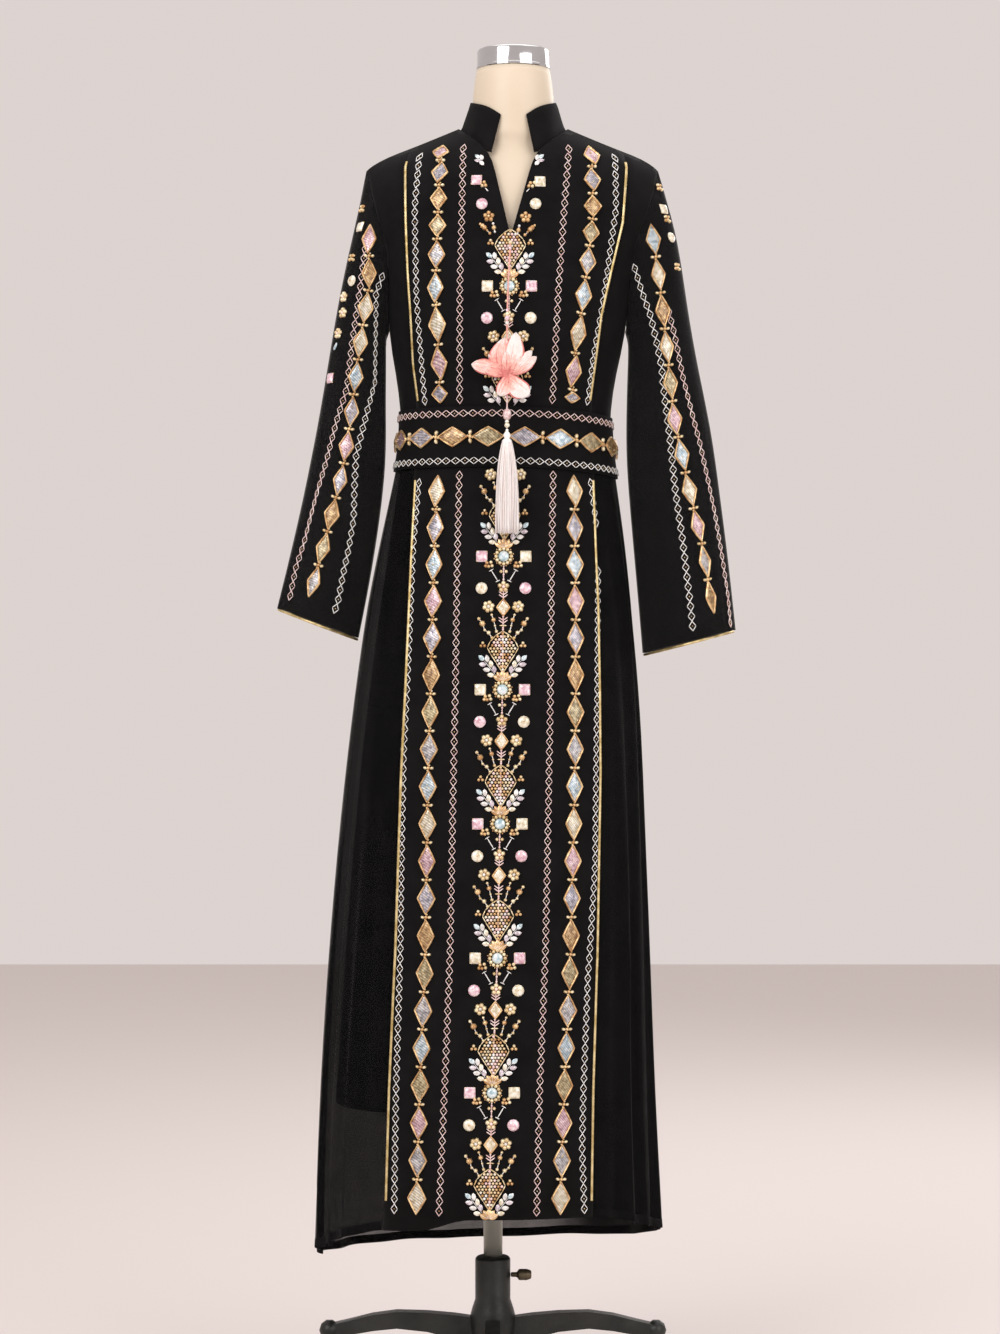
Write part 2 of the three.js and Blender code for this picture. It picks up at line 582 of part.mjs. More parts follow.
// A closed solid through rings that run the same way, with a flat fan at each end
function loft(name, rings, colour, roughness, metalness) {
  const out = [];
  const push = (...points) => points.forEach(p => out.push(p.x, p.y, p.z));
  const count = rings[0].length;
  for (let r = 0; r + 1 < rings.length; r += 1) {
    for (let c = 0; c < count; c += 1) {
      const d = (c + 1) % count;
      push(rings[r][c], rings[r][d], rings[r + 1][d]);
      push(rings[r][c], rings[r + 1][d], rings[r + 1][c]);
    }
  }
  const centre = ring => ring.reduce((sum, p) => sum.add(p), new THREE.Vector3()).divideScalar(count);
  const low = centre(rings[0]);
  const high = centre(rings.at(-1));
  for (let c = 0; c < count; c += 1) {
    const d = (c + 1) % count;
    push(low, rings[0][d], rings[0][c]);
    push(high, rings.at(-1)[c], rings.at(-1)[d]);
  }
  return addMesh(name, out, colour, roughness, metalness);
}

// Torso of the dress form: under the shoulders it follows its own table, and at them the garment's inside.
const FORM_COLUMNS = 28;
const shoulderReach = z => read([...SHOULDER].reverse(), 'z', z, 'x');
const formRings = FORM.map(s => range(FORM_COLUMNS).slice(0, -1).map(t => {
  const angle = radians(360 * t);
  const sine = power(Math.sin(angle), SOFT_OVAL);
  const cosine = power(Math.cos(angle), SOFT_OVAL);
  return new THREE.Vector3(middle(s.z) + s.side * sine, -(cosine > 0 ? s.front : s.back) * cosine, s.z);
}));
for (const z of FORM_SHOULDERS) {
  const reach = Math.min(shoulderReach(z + FORM_INSET + 2) - FORM_INSET, FORM.at(-1).side);
  formRings.push(range(FORM_COLUMNS).slice(0, -1).map(t => {
    const angle = radians(360 * t);
    const x = reach * Math.sin(angle);
    const face = Math.cos(angle) >= 0 ? 'front' : 'back';
    const cloth = bodyDepth(x, z + FORM_INSET, face) - SHOULDER_SEAM_Y;
    const flat = Math.max(Math.abs(cloth) - FORM_INSET, 4) * Math.min(Math.abs(Math.cos(angle)) * 2.2, 1);
    return new THREE.Vector3(middle(z) + x, SHOULDER_SEAM_Y + Math.sign(cloth) * flat, z);
  }));
}
for (const s of NECK) {
  formRings.push(range(FORM_COLUMNS).slice(0, -1).map(t => {
    const angle = radians(360 * t);
    const deep = Math.cos(angle) > 0 ? s.front : s.back;
    const x = middle(NECK_SIDE.z) + s.side * Math.sin(angle);
    return new THREE.Vector3(x, NECK_Y - deep * Math.cos(angle), s.z);
  }));
}
loft('form_torso', formRings, COLOURS.ivory, 0.6, 0);

// Neck cap, pole, hub with its screw, and four legs
function turned(name, profile, colour, roughness, metalness, sides = 24) {
  const points = profile.map(([r, z]) => new THREE.Vector2(r, z));
  const geometry = new THREE.LatheGeometry(points, sides);
  geometry.rotateX(Math.PI / 2);
  const merged = mergeVertices(geometry.deleteAttribute('uv').deleteAttribute('normal'), 1e-3);
  merged.computeVertexNormals();
  const mesh = new THREE.Mesh(merged, new THREE.MeshStandardMaterial({ color: colour, roughness, metalness }));
  mesh.name = name;
  model.add(mesh);
  return mesh;
}

turned('neck_cap', [
  [0, 0], [CAP.radius, 0], [CAP.radius, CAP.side], [CAP.radius - 3, CAP.high - 1], [0, CAP.high],
], COLOURS.chrome, 0.15, 1, 32).position.set(neckMiddle.x, NECK_Y, CAP.low);
turned('pole', [
  [0, POLE.low], [POLE.radius, POLE.low], [POLE.radius, POLE.high], [0, POLE.high],
], COLOURS.steel, 0.4, 0.9, 20).position.set(POLE.x, 0, 0);
turned('hub', [
  [0, HUB.low], [16, HUB.low], [26, 84], [29, 116], [26, 128], [HUB.radius, 140], [HUB.radius, HUB.high - 3],
  [HUB.radius - 3, HUB.high], [0, HUB.high],
], COLOURS.iron, 0.6, 0.7, 24);
const screw = turned('thumb_screw', [
  [0, 0], [3, 0], [3, 8], [SCREW.radius, 10], [SCREW.radius, SCREW.length - 6], [5, SCREW.length],
  [0, SCREW.length],
], COLOURS.iron, 0.5, 0.8, 14);
screw.rotation.y = Math.PI / 2;
screw.position.set(HUB.radius + SEAM, 0, SCREW.z);

// A leg runs out level from the hub, ends in a round knob and stands on a turned foot.
function solidFrom(geometry) {
  const bare = mergeVertices(geometry.deleteAttribute('uv').deleteAttribute('normal'), 1e-3);
  return new wasm.Manifold(new wasm.Mesh({
    numProp: 3,
    vertProperties: bare.attributes.position.array,
    triVerts: new Uint32Array(bare.index.array),
  }));
}

function meshFrom(name, solid, colour, roughness, metalness) {
  const { vertProperties, triVerts, numProp } = solid.getMesh();
  const out = [];
  for (const v of triVerts) out.push(...vertProperties.slice(v * numProp, v * numProp + 3));
  return addMesh(name, out, colour, roughness, metalness);
}

const ARM = [
  { out: 29.3, top: 118, deep: 40 }, { out: 48, top: 121, deep: 30 }, { out: 82, top: 124, deep: 24 },
  { out: 120, top: 125, deep: 21 }, { out: 150, top: 121, deep: 20 }, { out: 178, top: 114, deep: 18 },
  { out: LEG.reach, top: 108, deep: 16 },
];
const armShape = new THREE.Shape([
  ...ARM.map(s => new THREE.Vector2(s.out, s.top)),
  ...[...ARM].reverse().map(s => new THREE.Vector2(s.out, s.top - s.deep)),
]);
const armGeometry = new THREE.ExtrudeGeometry(armShape, { depth: LEG.wide, bevelEnabled: false });
armGeometry.rotateX(Math.PI / 2);
armGeometry.translate(0, LEG.wide / 2, 0);
const knobGeometry = new THREE.SphereGeometry(LEG.knob, 10, 7);
knobGeometry.translate(LEG.reach, 0, LEG.knobHeight);
const footGeometry = new THREE.LatheGeometry([
  [0, 0], [LEG.foot, 0], [LEG.foot, 5], [8, 12], [7, 60], [9, 95], [0, 95],
].map(([r, y]) => new THREE.Vector2(r, y)), 10);
footGeometry.rotateX(Math.PI / 2);
footGeometry.translate(LEG.reach, 0, 0);
const legSolid = solidFrom(armGeometry).add(solidFrom(knobGeometry)).add(solidFrom(footGeometry));
for (const [name, turn] of [['right', 0], ['back', 90], ['left', 180], ['front', 270]]) {
  meshFrom(`leg_${name}`, legSolid, COLOURS.iron, 0.6, 0.7).rotation.z = radians(turn);
}

// The face of a mesh that is seen from the front: its nearest depth at a place, and nothing beside it
function frontOf(meshes) {
  const triangles = [];
  for (const mesh of meshes) {
    const p = mesh.geometry.attributes.position;
    const index = mesh.geometry.index;
    for (let i = 0; i < index.count; i += 3) {
      triangles.push([0, 1, 2].map(k => new THREE.Vector3().fromBufferAttribute(p, index.getX(i + k))));
    }
  }
  return (x, z) => {
    let best = Infinity;
    for (const [a, b, c] of triangles) {
      const area = (b.x - a.x) * (c.z - a.z) - (c.x - a.x) * (b.z - a.z);
      if (Math.abs(area) < 1e-6) continue;
      const v = ((x - a.x) * (c.z - a.z) - (c.x - a.x) * (z - a.z)) / area;
      const w = ((b.x - a.x) * (z - a.z) - (x - a.x) * (b.z - a.z)) / area;
      if (v < -1e-6 || w < -1e-6 || v + w > 1 + 1e-6) continue;
      best = Math.min(best, a.y + v * (b.y - a.y) + w * (c.y - a.y));
    }
    return best;
  };
}

// A flat band of bead work laid on a face: stations give its middle line and half its width, from the
// bottom up. It is lifted where the face would come through it.
function layBand(name, stations, depth, colour, thick = APPLIQUE) {
  const low = stations.map((s, i) => {
    const a = stations[Math.max(i - 1, 0)];
    const b = stations[Math.min(i + 1, stations.length - 1)];
    const along = new THREE.Vector2(b.x - a.x, b.z - a.z).normalize();
    return [-1, 1].map(side => {
      const x = s.x + side * s.half * along.y;
      const z = s.z - side * s.half * along.x;
      return new THREE.Vector3(x, depth(x, z) - LIFT, z);
    });
  });
  const steps = [0, 0.25, 0.5, 0.75, 1];
  for (let pass = 0; pass < 5; pass += 1) {
    for (let i = 0; i + 1 < low.length; i += 1) {
      const [[a, b], [d, c]] = [low[i], low[i + 1]];
      for (const u of steps) {
        for (const v of steps) {
          const p = a.clone().lerp(b, u).lerp(d.clone().lerp(c, u), v);
          const sunk = p.y - (depth(p.x, p.z) - LIFT * 0.8);
          if (Number.isFinite(sunk) && sunk > 0) {
            for (const corner of v < 0.5 ? [a, b] : [c, d]) corner.y -= sunk;
          }
        }
      }
    }
  }
  const rows = low.map(pair => pair.map(p => p.clone().setY(p.y - thick)));
  const out = [];
  const quad = (a, b, c, d) => [a, b, c, a, c, d].forEach(p => out.push(p.x, p.y, p.z));
  for (let i = 0; i + 1 < low.length; i += 1) {
    const [[a, b], [d, c]] = [rows[i], rows[i + 1]];
    const [[e, f], [h, g]] = [low[i], low[i + 1]];
    quad(a, b, c, d);
    quad(f, e, h, g);
    quad(b, f, g, c);
    quad(e, a, d, h);
  }
  quad(low[0][0], low[0][1], rows[0][1], rows[0][0]);
  quad(rows.at(-1)[0], rows.at(-1)[1], low.at(-1)[1], low.at(-1)[0]);
  return addMesh(name, out, colour, 0.35, 0.6);
}

// Stations of a chain of diamonds along a line: each is a waist, a wide middle and a waist
function chainStations(lineAt, length, repeats, wide) {
  const step = length / repeats;
  const long = step * DIAMOND.share;
  const stations = [];
  for (let i = 0; i < repeats; i += 1) {
    const centre = step * (i + 0.5);
    for (const [offset, across] of [[-long / 2, DIAMOND.waist], [0, wide], [long / 2, DIAMOND.waist]]) {
      stations.push({ ...lineAt(centre + offset), half: across / 2 });
    }
  }
  return stations;
}

const named = name => model.children.find(mesh => mesh.name === name);
const bodiceFace = frontOf([named('bodice_front')]);
const skirtFace = frontOf([named('skirt_front')]);
for (const [hand, column] of [[-1, 'left'], [1, 'right']]) {
  for (const [part, depth] of [['bodice', bodiceFace], ['skirt', skirtFace]]) {
    const { from, to, repeats, wide } = CHAINS[part];
    const lineAt = s => ({ x: middle(from + s) + hand * read(DIAMOND_LINE, 'z', from + s, column), z: from + s });
    layBand(`${part}_diamonds_${column}`, chainStations(lineAt, to - from, repeats, wide), depth, COLOURS.bead);
  }
}
for (const [column, line] of [['left', SLEEVE_CHAIN_LEFT], ['right', SLEEVE_CHAIN_RIGHT]]) {
  const points = line.map(p => new THREE.Vector3(p.x, 0, p.z)).reverse();
  const length = points.slice(1).reduce((sum, p, i) => sum + p.distanceTo(points[i]), 0);
  const lineAt = s => alongLine(points, s / length);
  layBand(
    `sleeve_diamonds_${column}`,
    chainStations(lineAt, length, CHAINS.sleeve.repeats, CHAINS.sleeve.wide),
    frontOf([named(`sleeve_${column}`)]),
    COLOURS.bead,
  );
}

// Middle ornament, from the bottom up: fan, kite, small diamond, petals and round stone on one stem
function ornamentStations(stones, lowest, highest) {
  const stations = [];
  for (const stone of [...stones].sort((a, b) => a - b)) {
    for (const s of [...ORNAMENT].reverse()) {
      const z = stone - s.down;
      if (z > lowest && z < highest) stations.push({ x: middle(z), z, half: s.half });
    }
  }
  return stations;
}
layBand('skirt_ornament', ornamentStations(STONES_SKIRT, 268, 1090), skirtFace, COLOURS.bead);
layBand('bodice_ornament', ornamentStations(STONES_BODICE, 1258, V_LOW - 4), bodiceFace, COLOURS.bead);

// Gold piping along both edges of the front panels
for (const [hand, column] of [[-1, 'left'], [1, 'right']]) {
  for (const [part, faces, heights] of [
    ['bodice', ['bodice_front', `bodice_side_${column}`], PIPE.bodice],
    ['skirt', ['skirt_front', `skirt_side_${column}`], PIPE.skirt],
  ]) {
    const out = z => read(PIPING, 'z', z, column) - PIPE.inset;
    const line = heights.map(z => ({ x: middle(z) + hand * out(z), z, half: PIPE.half }));
    layBand(`${part}_piping_${column}`, line, frontOf(faces.map(named)), COLOURS.gold, PIPE.thick);
  }
}

// Gold edge round each cuff, a square tube just under the hem of the sleeve
for (const [hand, column, table] of [[-1, 'left', SLEEVE_LEFT], [1, 'right', SLEEVE_RIGHT]]) {
  const s = table.at(-1);
  const half = Math.abs(s.outer - s.inner) / 2;
  const corner = (t, grow, drop) => {
    const angle = radians(-180 + 360 * t);
    const sine = power(Math.sin(angle), SOFT_OVAL);
    const cosine = power(Math.cos(angle), SOFT_OVAL);
    const wave = SLEEVE_WAVE_RISE * Math.cos(SLEEVE_WAVES * angle);
    const z = s.zOuter + (s.zInner - s.zOuter) * (0.5 - (hand * sine) / 2);
    return new THREE.Vector3(
      (s.outer + s.inner) / 2 + (half + grow) * sine,
      s.y - (s.deep + wave + grow) * cosine,
      z - drop,
    );
  };
  const out = [];
  const quad = (a, b, c, d) => [a, b, c, a, c, d].forEach(p => out.push(p.x, p.y, p.z));
  const section = [[0.4, 0.5], [0.4, 3], [-2, 3], [-2, 0.5]];
  for (let i = 0; i < SLEEVE_COLUMNS; i += 1) {
    section.forEach(([grow, drop], k) => {
      const [nextGrow, nextDrop] = section[(k + 1) % section.length];
      const a = i / SLEEVE_COLUMNS;
      const b = ((i + 1) % SLEEVE_COLUMNS) / SLEEVE_COLUMNS;
      quad(
        corner(b, grow, drop),
        corner(a, grow, drop),
        corner(a, nextGrow, nextDrop),
        corner(b, nextGrow, nextDrop),
      );
    });
  }
  addMesh(`cuff_piping_${column}`, out, COLOURS.gold, 0.35, 0.8);
}

// Chain of diamonds round the belt, open at the middle of the back where the belt fastens
const BELT_CHAIN = { repeats: 16, z: 1210, half: 10, ends: 172 };
const beltBand = range(BELT_CHAIN.repeats * 3 - 1).map((t, i) => {
  const inRepeat = i % 3;
  const place = (Math.floor(i / 3) + [0.08, 0.5, 0.92][inRepeat]) / BELT_CHAIN.repeats;
  const angle = -BELT_CHAIN.ends + 2 * BELT_CHAIN.ends * place;
  const half = inRepeat === 1 ? BELT_CHAIN.half : DIAMOND.waist / 2;
  return [LIFT + FACED + 0.5, LIFT + FACED + 0.5 + APPLIQUE].map(out => (
    [-half, half].map(up => beltPoint(BELT_CHAIN.z + up, angle, out))
  ));
});
const beltFaces = [];
const beltQuad = (a, b, c, d) => [a, b, c, a, c, d].forEach(p => beltFaces.push(p.x, p.y, p.z));
beltBand.forEach(([[innerLow, innerHigh], [outerLow, outerHigh]], i) => {
  if (i === 0) beltQuad(innerLow, outerLow, outerHigh, innerHigh);
  if (i === beltBand.length - 1) {
    beltQuad(outerLow, innerLow, innerHigh, outerHigh);
    return;
  }
  const [[nextInnerLow, nextInnerHigh], [nextOuterLow, nextOuterHigh]] = beltBand[i + 1];
  beltQuad(outerLow, nextOuterLow, nextOuterHigh, outerHigh);
  beltQuad(nextInnerLow, innerLow, innerHigh, nextInnerHigh);
  beltQuad(outerHigh, nextOuterHigh, nextInnerHigh, innerHigh);
  beltQuad(innerLow, nextInnerLow, nextOuterLow, outerLow);
});
addMesh('belt_diamonds', beltFaces, COLOURS.bead, 0.35, 0.6);

// Lotus of ten petals, and where its middle starts and ends
function petalSolid({ angle, long, wide }, layer) {
  const shape = new THREE.Shape();
  shape.moveTo(0, -4);
  shape.bezierCurveTo(wide * 0.62, long * 0.22, wide * 0.55, long * 0.68, 0, long);
  shape.bezierCurveTo(-wide * 0.55, long * 0.68, -wide * 0.62, long * 0.22, 0, -4);
  const made = { depth: LOTUS.thick, bevelEnabled: false, curveSegments: 5 };
  const geometry = new THREE.ExtrudeGeometry(shape, made);
  geometry.rotateX(Math.PI / 2);
  geometry.rotateX(radians(layer));
  geometry.rotateY(radians(angle));
  geometry.translate(LOTUS.x, PENDANT_Y + LOTUS.thick / 2 - layer * 0.25, LOTUS.z);
  return solidFrom(geometry);
}
const lotusSolid = PETALS.map((petal, i) => petalSolid(petal, i % 4)).reduce((sum, petal) => sum.add(petal));
meshFrom('lotus', lotusSolid, COLOURS.blush, 0.6, 0);

const probe = new THREE.CylinderGeometry(THREAD * 1.4, THREAD * 1.4, 160, 8).rotateX(Math.PI / 2);
probe.translate(LOTUS.x, PENDANT_Y, LOTUS.z);
const lotusMiddle = lotusSolid.intersect(solidFrom(probe)).boundingBox();
const lotusLow = lotusMiddle.min[2];
const lotusHigh = lotusMiddle.max[2];

// Pendant thread, laid down the ornament and then hanging free
function rod(name, points, radius, colour) {
  const sides = 5;
  const rings = points.map((p, i) => {
    const along = points[Math.min(i + 1, points.length - 1)].clone().sub(points[Math.max(i - 1, 0)]).normalize();
    const across = new THREE.Vector3(1, 0, 0);
    const out = new THREE.Vector3().crossVectors(across, along).normalize();
    return range(sides).slice(0, -1).map(t => {
      const angle = 2 * Math.PI * t;
      const onAcross = p.clone().addScaledVector(across, radius * Math.cos(angle));
      return onAcross.addScaledVector(out, -radius * Math.sin(angle));
    });
  });
  return loft(name, rings, colour, 0.7, 0);
}
const chestFace = frontOf([named('bodice_front'), named('bodice_ornament')]);
const threadLine = [THREAD_TOP, 1425, 1400, 1375, 1352].map(z => {
  const x = middle(z) + (LOTUS.x - middle(z)) * ((THREAD_TOP - z) / 100);
  const around = [-14, -7, 0, 7, 14].flatMap(up => (
    [-2, 0, 2].map(aside => chestFace(x + aside, Math.min(z + up, THREAD_TOP + 2)))
  ));
  return new THREE.Vector3(x, Math.min(...around) - THREAD - SEAM, z);
});
threadLine.push(new THREE.Vector3(LOTUS.x, PENDANT_Y, 1336.5));
threadLine.push(new THREE.Vector3(LOTUS.x, PENDANT_Y, lotusHigh + SEAM));
rod('pendant_thread', threadLine.reverse(), THREAD, COLOURS.blush);

turned('pendant_beads', [
  [0, TASSEL.top + SEAM], [THREAD, TASSEL.top + SEAM], [THREAD, 1219], [2.6, 1221], [2.6, 1223], [THREAD, 1225],
  [THREAD, 1228], [4.6, 1231], [5, 1234], [4.6, 1237], [THREAD, 1240], [THREAD, lotusLow - SEAM],
  [0, lotusLow - SEAM],
], COLOURS.blush, 0.3, 0, 10).position.set(LOTUS.x, PENDANT_Y, 0);

// Tassel: strands of three sides, fused at their roots into the head
const headGeometry = new THREE.LatheGeometry([
  [0, TASSEL.top - 11], [TASSEL.head, TASSEL.top - 11], [TASSEL.head, TASSEL.top - 4], [2.4, TASSEL.top],
  [0, TASSEL.top],
].map(([r, y]) => new THREE.Vector2(r, y)), 12);
headGeometry.rotateX(Math.PI / 2);
let tasselSolid = solidFrom(headGeometry);
for (const { ring, count } of STRANDS) {
  for (let i = 0; i < count; i += 1) {
    const angle = (2 * Math.PI * (i + ring * 0.4)) / count;
    const place = (spread, z) => new THREE.Vector3(
      ring * spread * Math.sin(angle),
      -ring * spread * Math.cos(angle) * (z < TASSEL.top - 20 ? TASSEL.squash : 1),
      z,
    );
    const ends = [place(TASSEL.endSpread, TASSEL.bottom + (i % 3)), place(TASSEL.rootSpread, TASSEL.top - 8)];
    const corners = ends.flatMap((p, k) => [0, 1, 2].map(c => {
      const around = angle + (2 * Math.PI * c) / 3;
      const radius = k ? 0.5 : 1.3;
      return new THREE.Vector3(p.x + radius * Math.sin(around), p.y - radius * Math.cos(around), p.z);
    }));
    const vertProperties = new Float32Array(corners.flatMap(p => p.toArray()));
    const triVerts = new Uint32Array([0, 2, 1, 3, 4, 5, 0, 1, 4, 0, 4, 3, 1, 2, 5, 1, 5, 4, 2, 0, 3, 2, 3, 5]);
    tasselSolid = tasselSolid.add(new wasm.Manifold(new wasm.Mesh({ numProp: 3, vertProperties, triVerts })));
  }
}
meshFrom('tassel', tasselSolid, COLOURS.thread, 0.7, 0).position.set(LOTUS.x, PENDANT_Y, 0);

// The origin is on the floor, under the middle of the whole object.
const extent = new THREE.Box3().setFromObject(model);
const centre = extent.getCenter(new THREE.Vector3());
model.position.set(-centre.x, -centre.y, -extent.min.z);

export default model;
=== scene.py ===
import json
import math
import random

import bmesh
import bpy
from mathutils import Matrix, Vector
from mathutils.bvhtree import BVHTree

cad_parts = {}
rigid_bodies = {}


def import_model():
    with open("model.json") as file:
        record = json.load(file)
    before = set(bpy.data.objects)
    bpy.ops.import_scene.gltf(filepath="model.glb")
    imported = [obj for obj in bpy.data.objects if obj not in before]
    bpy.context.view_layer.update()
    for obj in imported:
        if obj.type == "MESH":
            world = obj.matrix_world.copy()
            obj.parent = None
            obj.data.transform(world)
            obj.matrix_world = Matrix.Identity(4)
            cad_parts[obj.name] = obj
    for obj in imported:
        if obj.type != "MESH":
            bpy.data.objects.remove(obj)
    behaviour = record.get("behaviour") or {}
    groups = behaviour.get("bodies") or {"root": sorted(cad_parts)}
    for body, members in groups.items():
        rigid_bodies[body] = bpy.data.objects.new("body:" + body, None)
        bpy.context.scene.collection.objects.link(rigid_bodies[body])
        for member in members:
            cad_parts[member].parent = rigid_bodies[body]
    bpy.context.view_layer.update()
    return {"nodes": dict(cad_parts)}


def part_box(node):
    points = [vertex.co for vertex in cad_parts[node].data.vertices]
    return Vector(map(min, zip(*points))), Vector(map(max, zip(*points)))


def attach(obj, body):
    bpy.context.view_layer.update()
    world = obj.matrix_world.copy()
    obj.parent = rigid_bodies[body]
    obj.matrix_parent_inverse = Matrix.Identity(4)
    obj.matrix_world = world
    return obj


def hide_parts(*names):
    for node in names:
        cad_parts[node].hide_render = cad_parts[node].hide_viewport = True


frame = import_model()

# Camera, studio light and floor.
# The camera stands four metres in front of the garment, level with its hips, and looks straight at it.
# Three broad soft lamps and one from behind, with a pale world, stand for the daylight of the room.
eye_height = 0.929
eye_side = -0.0075
eye_distance = 4.0
camera_data = bpy.data.cameras.new("camera")
camera_data.sensor_width = 36
camera_data.lens = 86.4
camera_data.clip_end = 50
camera = bpy.data.objects.new("camera", camera_data)
camera.location = (eye_side, -eye_distance, eye_height)
camera.rotation_euler = (math.radians(90), 0, 0)
bpy.context.scene.collection.objects.link(camera)
bpy.context.scene.camera = camera

for name, place, turn, size, power in (
    ("key_lamp", (-2.2, -3.2, 3.0), (58, 0, -34), 2.4, 76),
    ("fill_lamp", (2.6, -3.0, 2.0), (66, 0, 40), 2.6, 45),
    ("top_lamp", (0.2, 0.4, 3.8), (0, 0, 0), 2.6, 26),
    ("rim_lamp", (1.8, 2.4, 2.4), (-62, 0, -38), 1.6, 30),
):
    lamp_data = bpy.data.lights.new(name, "AREA")
    lamp_data.size = size
    lamp_data.energy = power
    lamp = bpy.data.objects.new(name, lamp_data)
    lamp.location = place
    lamp.rotation_euler = [math.radians(a) for a in turn]
    bpy.context.scene.collection.objects.link(lamp)

world = bpy.data.worlds.new("pale_room")
bpy.context.scene.world = world
world.use_nodes = True
world.node_tree.nodes["Background"].inputs["Color"].default_value = (0.95, 0.86, 0.83, 1)
world.node_tree.nodes["Background"].inputs["Strength"].default_value = 0.76
bpy.context.scene.view_settings.view_transform = "Standard"


def new_object(name, verts, faces, smooth=True):
    mesh = bpy.data.meshes.new(name)
    mesh.from_pydata([tuple(v) for v in verts], [], faces)
    mesh.update()
    if smooth:
        mesh.shade_smooth()
    obj = bpy.data.objects.new(name, mesh)
    bpy.context.scene.collection.objects.link(obj)
    return obj


def new_material(name):
    material = bpy.data.materials.new(name)
    material.use_nodes = True
    return material, material.node_tree.nodes, material.node_tree.links


def set_shader(nodes, **values):
    shader = nodes["Principled BSDF"]
    for key, value in values.items():
        shader.inputs[key.replace("_", " ")].default_value = value
    return shader


floor_half = 6.0
floor_corners = [(x * floor_half, y * floor_half, 0) for x, y in ((-1, -1), (1, -1), (1, 1), (-1, 1))]
floor = new_object("floor", floor_corners, [(0, 1, 2, 3)])
floor_material, nodes, links = new_material("floor_plaster")
set_shader(nodes, Base_Color=(0.72, 0.66, 0.64, 1), Roughness=0.75)
floor.data.materials.append(floor_material)

# Shells of the cloth.
# Every panel is cut from black chiffon or crepe and sewn at its edges, so each shell keeps its outline.
# Fine uneven creases run down the sheer skirt from the waist, as the cloth hangs.
MM = 0.001
# The middle line of the garment, which leans as it rises: height and place across, in mm.
middle_line = [
    (0, -8), (262, -4.5), (418, -0.6), (579, 5.9), (900, 11.9), (1063, 13.6), (1391, 20.4), (1700, 28),
]
shift_x = -16.5 * MM


def between(table, z, column=1):
    """The value in a column at a height in mm, straight between the rows."""
    low = table[0]
    for high in table[1:]:
        if z <= high[0]:
            t = max(0.0, (z - low[0]) / (high[0] - low[0]))
            return low[column] + (high[column] - low[column]) * t
        low = high
    return low[column]


def middle_x(z):
    return between(middle_line, z) * MM + shift_x


def fresh_mesh(node, name, levels=1, sharp=55):
    """The form of a node as clean quads, with its corners kept sharp when it is made finer."""
    bm = bmesh.new()
    bm.from_mesh(frame["nodes"][node].data)
    bmesh.ops.remove_doubles(bm, verts=bm.verts, dist=1e-5)
    bmesh.ops.join_triangles(
        bm, faces=bm.faces, angle_face_threshold=math.radians(40), angle_shape_threshold=math.radians(75),
        cmp_seam=False, cmp_sharp=False, cmp_uvs=False, cmp_vcols=False, cmp_materials=False,
    )
    crease = bm.edges.layers.float.new("crease_edge")
    for edge in bm.edges:
        if len(edge.link_faces) == 2 and edge.calc_face_angle(0) > math.radians(sharp):
            edge[crease] = 1.0
    mesh = bpy.data.meshes.new(name)
    bm.to_mesh(mesh)
    bm.free()
    obj = bpy.data.objects.new(name, mesh)
    bpy.context.scene.collection.objects.link(obj)
    if levels:
        finer = obj.modifiers.new("finer", "SUBSURF")
        finer.levels = finer.render_levels = levels
        made = bpy.data.meshes.new_from_object(obj.evaluated_get(bpy.context.evaluated_depsgraph_get()))
        obj.modifiers.clear()
        obj.data = made
        made.name = name
    obj.data.shade_smooth()
    obj.data.set_sharp_from_angle(angle=math.radians(sharp))
    return obj


def finish(obj, node, material):
    """Gives a piece its one material and puts it in place of its node."""
    obj.data.materials.clear()
    obj.data.materials.append(material)
    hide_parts(node)
    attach(obj, "root")


def clothe(obj, node, material):
    """Finishes a panel: gives it its one material and puts it in place of its node."""
    finish(obj, node, material)


def new_group(name, *outputs):
    """A node group with a scale to set, the named outputs and the place on the object to work from."""
    group = bpy.data.node_groups.new(name, "ShaderNodeTree")
    group.interface.new_socket("Scale", in_out="INPUT", socket_type="NodeSocketFloat")
    for output in outputs:
        group.interface.new_socket(output, in_out="OUTPUT", socket_type="NodeSocketFloat")
    inside = group.nodes.new("NodeGroupInput")
    outside = group.nodes.new("NodeGroupOutput")
    coords = group.nodes.new("ShaderNodeTexCoord")
    return group, inside, outside, coords


def weave_group():
    """Fine crossed threads: gives a height for bump and a mask of the cloth's slub."""
    group, inside, outside, coords = new_group("cloth_weave", "Height", "Slub")
    n, l = group.nodes, group.links
    crossed = n.new("ShaderNodeMath")
    crossed.operation = "MAXIMUM"
    for k, direction in enumerate(("X", "Z")):
        wave = n.new("ShaderNodeTexWave")
        wave.bands_direction = direction
        wave.inputs["Distortion"].default_value = 1.2
        wave.inputs["Detail"].default_value = 2
        l.new(coords.outputs["Object"], wave.inputs["Vector"])
        l.new(inside.outputs["Scale"], wave.inputs["Scale"])
        l.new(wave.outputs["Fac"], crossed.inputs[k])
    slub = n.new("ShaderNodeTexNoise")
    slub.inputs["Scale"].default_value = 38
    slub.inputs["Detail"].default_value = 6
    l.new(coords.outputs["Object"], slub.inputs["Vector"])
    l.new(crossed.outputs[0], outside.inputs["Height"])
    l.new(slub.outputs["Fac"], outside.inputs["Slub"])
    return group


weave = weave_group()


def place_group(nodes, group, scale):
    placed = nodes.new("ShaderNodeGroup")
    placed.node_tree = group
    placed.inputs["Scale"].default_value = scale
    return placed


